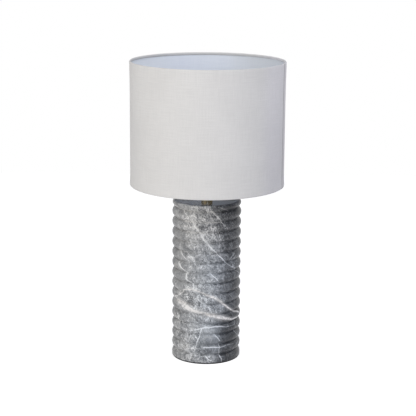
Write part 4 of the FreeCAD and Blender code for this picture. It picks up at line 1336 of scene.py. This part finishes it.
    def patch_field(self, field_patches: Sequence[Patch], angle: np.ndarray, height: np.ndarray) -> np.ndarray:
        """Adds up patches at each point.

        Args:
            field_patches: The patches.
            angle: Each point's angle from the front, in degrees.
            height: Each point's height in millimetres.

        Returns:
            Their sum.
        """
        total = np.zeros(len(angle))
        for patch in field_patches:
            across = from_angle(angle, patch.angle) * DEGREE_OF_STONE / patch.across
            up = (height - patch.height) / patch.up
            total += patch.amount * np.exp(-(across**2 + up**2))
        return total


@dataclass
class StandFittings:
    """What is fixed to the column: the pad, the clamping parts, the wiring, the neck and the lampholder."""

    bolted: tuple[str, ...] = (
        "clamp_plate", "lock_washer", "base_nut", "threaded_rod", "column_washer", "column_nut",
        "block_screws", "cap_grub_screw", "live_terminal_screw", "neutral_terminal_screw",
    )
    conducting: tuple[str, ...] = (
        "block_inserts", "earth_screw", "live_terminal", "neutral_terminal", "centre_contact", "thread_sleeve",
    )
    moulded: tuple[str, ...] = ("holder_cap", "holder_shell", "lower_shade_ring", "upper_shade_ring")

    def build(self) -> None:
        """Dresses the fittings."""
        keep_nodes(
            {
                "felt": ["foot_pad"],
                "zinc_steel": self.bolted,
                "contact_brass": self.conducting,
                "holder_black": self.moulded,
                "bush_plastic": ["cord_outlet_bush"],
                "block_plastic": ["terminal_block"],
                "brown_insulation": ["live_wire"],
                "blue_insulation": ["neutral_wire"],
                "green_yellow_insulation": ["earth_wire"],
                "neck_brass": ["neck_tube", "neck_collar"],
                "porcelain": ["holder_core"],
            }
        )


@dataclass
class DrumShade:
    """The drum: laminated linen rolled round two hoops, with a lapped seam, its lining and its wire frame."""

    foot: float = 346.5
    top: float = 586.5
    radius: float = 150.0
    roll: float = 1.7
    roll_steps: int = 12
    hem_depth: float = 5.4
    hem_bend: float = 4.4
    hem_bend_inset: float = 0.9
    hem_gap: float = 0.1
    waist: float = 0.85
    waist_below_top: float = 75.0
    waist_above_foot: float = 28.0
    wall_steps: int = 44
    cloth: float = 0.4
    glue: float = 0.05
    lining: float = 0.4
    lining_gap: float = 0.3
    lining_steps: int = 40
    lining_lap: float = -2.0
    seam_angle: float = -16.6
    seam_line: float = 3.0
    lap: float = 6.0
    ease: float = 3.0
    ease_steps: int = 14
    steps: int = 300
    arm_count: int = 3
    first_arm_angle: float = 45.0
    hub_radius: float = 31.0
    hub_height: float = 393.0
    hub_weld: Point = (0.6, 2.6)
    hoop_weld: Point = (-1.4, 1.5)
    weld_width: float = 2.1
    weld_height: float = 1.95
    weld_lump: float = 0.12
    weld_lump_scale: float = 2.3
    weld_steps: tuple[int, int] = (24, 14)
    slit: tuple[float, float, float] = (4.0, 3.8, 8.0)
    slit_inset: float = 3.3
    slit_height: float = 3.8

    def arm_angles(self) -> list[float]:
        """The angles of the spider's arms, in degrees."""
        return [self.first_arm_angle + 360 / self.arm_count * index for index in range(self.arm_count)]

    def wall_radius(self, height: float) -> float:
        """The outside radius of the drum at a height: drawn in between the hoops.

        Args:
            height: The height in millimetres.

        Returns:
            The radius in millimetres.
        """
        below = (self.top - self.roll - height) / (self.waist_below_top - self.roll)
        above = (height - self.foot - self.roll) / (self.waist_above_foot - self.roll)
        share = min(max(below, 0.0), max(above, 0.0), 1.0)
        return self.radius - self.waist * math.sin(share * math.pi / 2)

    def cloth_line(self, lift: float) -> list[Point]:
        """The middle of the cloth in section, from the top hem's edge round to the bottom hem's.

        Args:
            lift: How far this layer lies outside the first one, in millimetres.

        Returns:
            Points of (radius, height) in millimetres.
        """
        hoop = self.radius - self.roll
        turn = self.roll - self.cloth / 2 + lift
        edge = self.radius - 2 * self.cloth - 2 * self.glue - self.lining - self.hem_gap - lift
        bend = edge - self.hem_bend_inset
        line = [(edge, self.top - self.hem_depth), (bend, self.top - self.hem_bend)]
        line += [(hoop - turn, self.top - 2 * self.roll)]
        line += arc((hoop, self.top - self.roll), turn, 180, 0, self.roll_steps)
        heights = np.linspace(self.top - self.roll, self.foot + self.roll, self.wall_steps)
        line += [(self.wall_radius(z) - self.cloth / 2 + lift, float(z)) for z in heights]
        line += arc((hoop, self.foot + self.roll), turn, 0, -180, self.roll_steps)[1:]
        line += [(hoop - turn, self.foot + self.roll), (hoop - turn, self.foot + 2 * self.roll)]
        line += [(bend, self.foot + self.hem_bend), (edge, self.foot + self.hem_depth)]
        return line

    def lining_line(self, lift: float) -> list[Point]:
        """The middle of the lining in section, downwards, a little off the cloth's back.

        Args:
            lift: How far this layer lies outside the first one, in millimetres.

        Returns:
            Points of (radius, height) in millimetres.
        """
        reach = 2 * self.roll + self.lining_gap
        inset = self.cloth + self.glue + self.lining / 2
        heights = np.linspace(self.top - reach, self.foot + reach, self.lining_steps)
        return [(self.wall_radius(float(z)) - inset + lift, float(z)) for z in heights]

    @staticmethod
    def both_faces(line: list[Point], thickness: float) -> list[Point]:
        """The two faces of a sheet from its middle line: out along one and back along the other.

        Args:
            line: The middle line in section.
            thickness: The sheet's thickness.

        Returns:
            Points all the way round.
        """
        middle = np.array(line)
        run = np.gradient(middle, axis=0)
        run /= np.linalg.norm(run, axis=1)[:, None]
        side = np.stack([run[:, 1], -run[:, 0]], axis=1) * thickness / 2
        return [tuple(p) for p in np.concatenate([middle - side, (middle + side)[::-1]])]

    def sheet(self, name: str, lines: Callable[[float], list[Point]], thickness: float, lap: float) -> Thing:
        """Bends a strip of sheet round the drum, with its last degrees under its first.

        Args:
            name: The piece's name.
            lines: Gives the sheet's middle line in section for a lift in millimetres.
            thickness: The sheet's thickness in millimetres.
            lap: How many degrees the ends overlap by, negative where the free edge is inside.

        Returns:
            The piece, with its UV map in metres and the distance from its seam.
        """
        reach = abs(lap)
        eased = reach + self.ease
        rest = np.linspace(eased, 360 + reach, self.steps)[1:]
        turns = np.concatenate([np.linspace(0, eased, self.ease_steps), rest])
        side = math.copysign(1.0, lap)
        rows, points = [], []
        for turn in turns:
            share = min(max((eased - turn) / self.ease, 0.0), 1.0)
            lift = side * (thickness + self.glue) * (share * share * (3 - 2 * share))
            rows.append(self.both_faces(lines(lift), thickness))
            angle = math.radians(self.seam_angle + turn)
            points += [on_circle(r, angle, z) for r, z in rows[-1]]
        ring = len(rows[0])
        faces = []
        for start in range(0, (len(turns) - 1) * ring, ring):
            for i in range(ring):
                j = (i + 1) % ring
                faces.append([start + i, start + ring + i, start + ring + j, start + j])
        last = (len(turns) - 1) * ring
        for i in range(ring // 2 - 1):
            faces.append([i, i + 1, ring - 2 - i, ring - 1 - i])
            faces.append([last + ring - 1 - i, last + ring - 2 - i, last + i + 1, last + i])
        thing = new_thing(name, np.array(points), faces)
        self.map_sheet(thing, turns, rows)
        smooth(thing, SHEET_SHARP_ANGLE)
        return thing

    def map_sheet(self, thing: Thing, turns: np.ndarray, rows: list[list[Point]]) -> None:
        """Gives a sheet its UV map, along and across the cloth, and its distance from the seam's edge.

        Args:
            thing: The sheet.
            turns: Each section's degrees round the drum.
            rows: Each section's points.
        """
        ring = len(rows[0])
        section = np.array(rows[-1][: ring // 2])
        lengths = np.concatenate([[0], np.cumsum(np.linalg.norm(np.diff(section, axis=0), axis=1))])
        along = np.concatenate([lengths, lengths[::-1]]) * MM
        across = np.radians(turns) * self.radius * MM
        layer = thing.data.uv_layers.new(name="cloth")
        index = np.zeros(len(thing.data.loops), np.int32)
        thing.data.loops.foreach_get("vertex_index", index)
        uv = np.stack([across[index // ring], along[index % ring]], axis=1)
        layer.data.foreach_set("uv", uv.astype(np.float32).ravel())
        from_edge = np.repeat(np.minimum(np.abs(turns - 360.0), np.abs(turns)), ring)
        number_layer(thing, "seam", np.radians(from_edge) * self.radius / self.seam_line)

    def slit_cutters(self) -> list[Thing]:
        """The cutters of the slits in the bottom hem that the arms pass through.

        Returns:
            The cutters, in place.
        """
        cutters = []
        for angle in map(math.radians, self.arm_angles()):
            shape = bmesh.new()
            bmesh.ops.create_cube(shape, size=1)
            cutter = thing_from_shape("slit", shape)
            cutter.scale = tuple(side * MM for side in self.slit)
            cutter.rotation_euler.z = angle
            middle = self.radius - self.roll - self.slit_inset
            cutter.location = on_circle(middle, angle, self.foot + self.slit_height)
            cutters.append(cutter)
        return cutters

    def weld(self, name: str, radius: float, height: float, angle: float, half_length: float) -> None:
        """Builds a small weld where an arm meets the frame, lumpy as a drop of metal sets.

        Args:
            name: The weld's name.
            radius: Its distance from the axis, in millimetres.
            height: Its height in millimetres.
            angle: Its angle in degrees.
            half_length: Half its length along the arm, in millimetres.
        """
        shape = bmesh.new()
        round_it, up_it = self.weld_steps
        bmesh.ops.create_uvsphere(shape, u_segments=round_it, v_segments=up_it, radius=1.0)
        reach = Vector((half_length, self.weld_width, self.weld_height))
        for vertex in shape.verts:
            seed = vertex.co * self.weld_lump_scale + Vector((angle, height, radius))
            vertex.co = vertex.co * reach * (1 + self.weld_lump * noise.noise(seed)) * MM
        thing = thing_from_shape(name, shape)
        thing.rotation_euler.z = math.radians(angle)
        thing.location = on_circle(radius, math.radians(angle), height)
        smooth(thing)
        hand_over(thing, Body.SHADE, "white_coated_steel")

    def build(self) -> None:
        """Builds the cloth, the lining and the welds, and dresses the frame."""
        linen = self.sheet("linen_wall", self.cloth_line, self.cloth, self.lap)
        carve(linen, self.slit_cutters())
        smooth(linen, SHEET_SHARP_ANGLE)
        hand_over(linen, Body.SHADE, "linen", "shade_fabric")
        line = np.array(self.cloth_line(0.0))
        lining = self.sheet("lining_sheet", self.lining_line, self.lining, self.lining_lap)
        hand_over(lining, Body.SHADE, "lining_sheet", "shade_lining")
        hub_out, hub_reach = self.hub_weld
        hoop_out, hoop_reach = self.hoop_weld
        hoop_place = (self.radius - self.roll + hoop_out, self.foot + self.roll)
        for number, angle in enumerate(self.arm_angles(), 1):
            self.weld(f"hub_weld_{number}", self.hub_radius + hub_out, self.hub_height, angle, hub_reach)
            self.weld(f"hoop_weld_{number}", *hoop_place, angle, hoop_reach)
        arms = [f"spider_arm_{number + 1}" for number in range(self.arm_count)]
        keep_nodes({"white_coated_steel": ["spider_hub", "bottom_hoop", "top_hoop", *arms]})


@dataclass
class Bulb:
    """The opal bulb with its screw cap."""

    foot: float = 384.0
    length: float = 105.0
    radius: float = 30.0
    neck_radius: float = 13.6
    neck_arc: float = 30.0
    wall: float = 0.8
    cap_top: float = 411.0
    gap: float = 0.3
    tail: float = 6.0
    tail_radius: float = 11.7
    neck_steps: int = 14
    dome_steps: int = 40
    round_steps: int = 96

    def glass_outline(self) -> list[Point]:
        """The envelope's closed outline, in millimetres: up the outside and down the inside.

        Returns:
            Points of (radius, height).
        """
        centre = self.foot + self.length - self.radius
        reach = self.radius + self.neck_arc
        offset = self.neck_radius + self.neck_arc
        drop = math.sqrt(reach * reach - offset * offset)
        turn = math.degrees(math.atan2(drop, offset))
        bend, tail_foot = (offset, centre - drop), self.cap_top - self.tail
        shoulder = self.cap_top + self.gap
        inner, thin_tail = self.radius - self.wall, self.tail_radius - self.wall
        outside = [(self.tail_radius, tail_foot), (self.tail_radius, shoulder)]
        outside += [(self.neck_radius - self.gap, shoulder), (self.neck_radius, shoulder + self.gap)]
        outside += arc(bend, self.neck_arc, 180, 180 - turn, self.neck_steps)
        outside += arc((0, centre), self.radius, -turn, 90, self.dome_steps)
        inside = [(0, centre + self.radius), (0, centre + inner)]
        inside += arc((0, centre), inner, 90, -turn, self.dome_steps)[1:]
        inside += arc(bend, self.neck_arc + self.wall, 180 - turn, 180, self.neck_steps)
        inside += [(self.neck_radius - self.wall, shoulder + self.wall), (thin_tail, shoulder + self.wall)]
        return outside + inside + [(thin_tail, tail_foot)]

    def build(self) -> None:
        """Builds the glass and dresses the cap, contacts, stem and filaments."""
        angles = np.linspace(0, 2 * math.pi, self.round_steps, endpoint=False)
        glass = turned("opal_envelope", self.glass_outline(), angles)
        hand_over(glass, Body.BULB_GLASS, "opal_glass", "bulb_glass")
        keep_nodes(
            {
                "cap_metal": ["bulb_cap"],
                "black_glass": ["bulb_insulator"],
                "contact_brass": ["bulb_contact"],
                "clear_glass": ["bulb_stem"],
                "phosphor": ["led_filaments"],
            }
        )


LAMP_MIDDLE = Vector((0, 0, 0.3))


@dataclass(frozen=True)
class SoftLight:
    """A soft square light that looks at the middle of the lamp, with its side in metres and power in watts."""

    name: str
    place: Place
    side: float
    power: float
    colour: Colour

    def build(self) -> None:
        """Hangs the light."""
        data = bpy.data.lights.new(self.name, "AREA")
        data.shape = "SQUARE"
        data.size = self.side
        data.energy = self.power
        data.color = self.colour
        thing = thing_of(self.name, data)
        thing.location = self.place
        thing.rotation_mode = "QUATERNION"
        thing.rotation_quaternion = (LAMP_MIDDLE - Vector(self.place)).to_track_quat("-Z", "Y")


@dataclass
class Studio:
    """The floor, the soft light and the camera."""

    focal_px: float = 1322.11
    frame_px: float = 416.0
    sensor_mm: float = 36.0
    pitch: float = 12.88
    roll: float = 0.44
    eye: Place = (0.00227, -2.51941, 0.87437)
    floor_side: float = 3.6
    floor_height: float = -0.1 * MM
    floor_colour: Colour = (0.82, 0.82, 0.82)
    floor_glow: float = 0.64
    world_colour: Colour = (0.95, 0.96, 1.0)
    world_light: float = 0.38
    lights: tuple[SoftLight, ...] = (
        SoftLight("key_light", (-2.4, -2.4, 0.9), 1.8, 45.0, (1.0, 0.965, 0.9)),
        SoftLight("front_light", (-0.3, -3.4, 0.9), 1.6, 4.0, (1.0, 0.98, 0.97)),
        SoftLight("fill_light", (2.6, -1.6, 2.4), 1.8, 29.5, (0.87, 0.885, 1.0)),
        SoftLight("top_light", (0.1, -1.6, 2.6), 1.6, 18.0, WHITE),
    )

    def camera(self) -> None:
        """Stands the camera where the photo was taken from."""
        data = bpy.data.cameras.new("camera")
        data.sensor_width = self.sensor_mm
        data.lens = self.focal_px / self.frame_px * self.sensor_mm
        data.clip_start, data.clip_end = 0.1, 50.0
        camera = thing_of("camera", data)
        camera.location = self.eye
        camera.rotation_mode = "QUATERNION"
        tilt = Quaternion((1, 0, 0), math.radians(90 - self.pitch))
        camera.rotation_quaternion = tilt @ Quaternion((0, 0, 1), math.radians(self.roll))
        bpy.context.scene.camera = camera

    @staticmethod
    def seen(graph: Graph) -> Socket:
        """One for rays that show the background: the camera's, and those through glass and off gloss.

        Args:
            graph: The graph of the floor or the world.

        Returns:
            One or zero.
        """
        path = graph.add("LightPath")
        shown = graph.math("MAXIMUM", path.outputs["Is Camera Ray"], path.outputs["Is Glossy Ray"])
        return graph.math("MAXIMUM", shown, path.outputs["Is Transmission Ray"])

    def floor(self) -> None:
        """Lays a pale floor that keeps the lamp's soft shadow, just under the pad so that the two don't mix."""
        half = self.floor_side / 2
        corners = [(x * half, y * half, self.floor_height) for x, y in ((-1, -1), (1, -1), (1, 1), (-1, 1))]
        thing = new_thing("floor", np.array(corners), [[0, 1, 2, 3]])
        material = bpy.data.materials.new("pale_floor")
        material.use_nodes = True
        material.node_tree.nodes.clear()
        graph = Graph(material.node_tree)
        glow = graph.math("MULTIPLY", self.seen(graph), self.floor_glow)
        shaders = (
            graph.add("BsdfDiffuse", {"Color": self.floor_colour}),
            graph.add("Emission", {"Color": WHITE, "Strength": glow}),
        )
        both = graph.add("AddShader", {index: shader.outputs[0] for index, shader in enumerate(shaders)})
        graph.add("OutputMaterial", {"Surface": both.outputs[0]})
        thing.data.materials.append(material)

    def world(self) -> None:
        """Fills the room with even light, and shows as white."""
        world = bpy.data.worlds.new("studio")
        bpy.context.scene.world = world
        world.use_nodes = True
        world.node_tree.nodes.clear()
        graph = Graph(world.node_tree)
        light = graph.add("Background", {"Color": self.world_colour, "Strength": self.world_light})
        white = graph.add("Background", {"Color": WHITE, "Strength": 1.0})
        shown = graph.add("MixShader", {0: self.seen(graph), 1: light.outputs[0], 2: white.outputs[0]})
        graph.add("OutputWorld", {"Surface": shown.outputs[0]})

    def build(self) -> None:
        """Sets up the whole studio."""
        self.camera()
        self.floor()
        self.world()
        for light in self.lights:
            light.build()
        bpy.context.scene.view_settings.view_transform = "Standard"
        log.info("studio ready")


def main() -> None:
    """Builds the lamp and its studio in order."""
    logging.basicConfig(level=logging.INFO, format="%(name)s: %(message)s")
    Studio().build()
    MarbleColumn().build()
    StandFittings().build()
    DrumShade().build()
    Bulb().build()


if __name__ == "__main__":
    main()
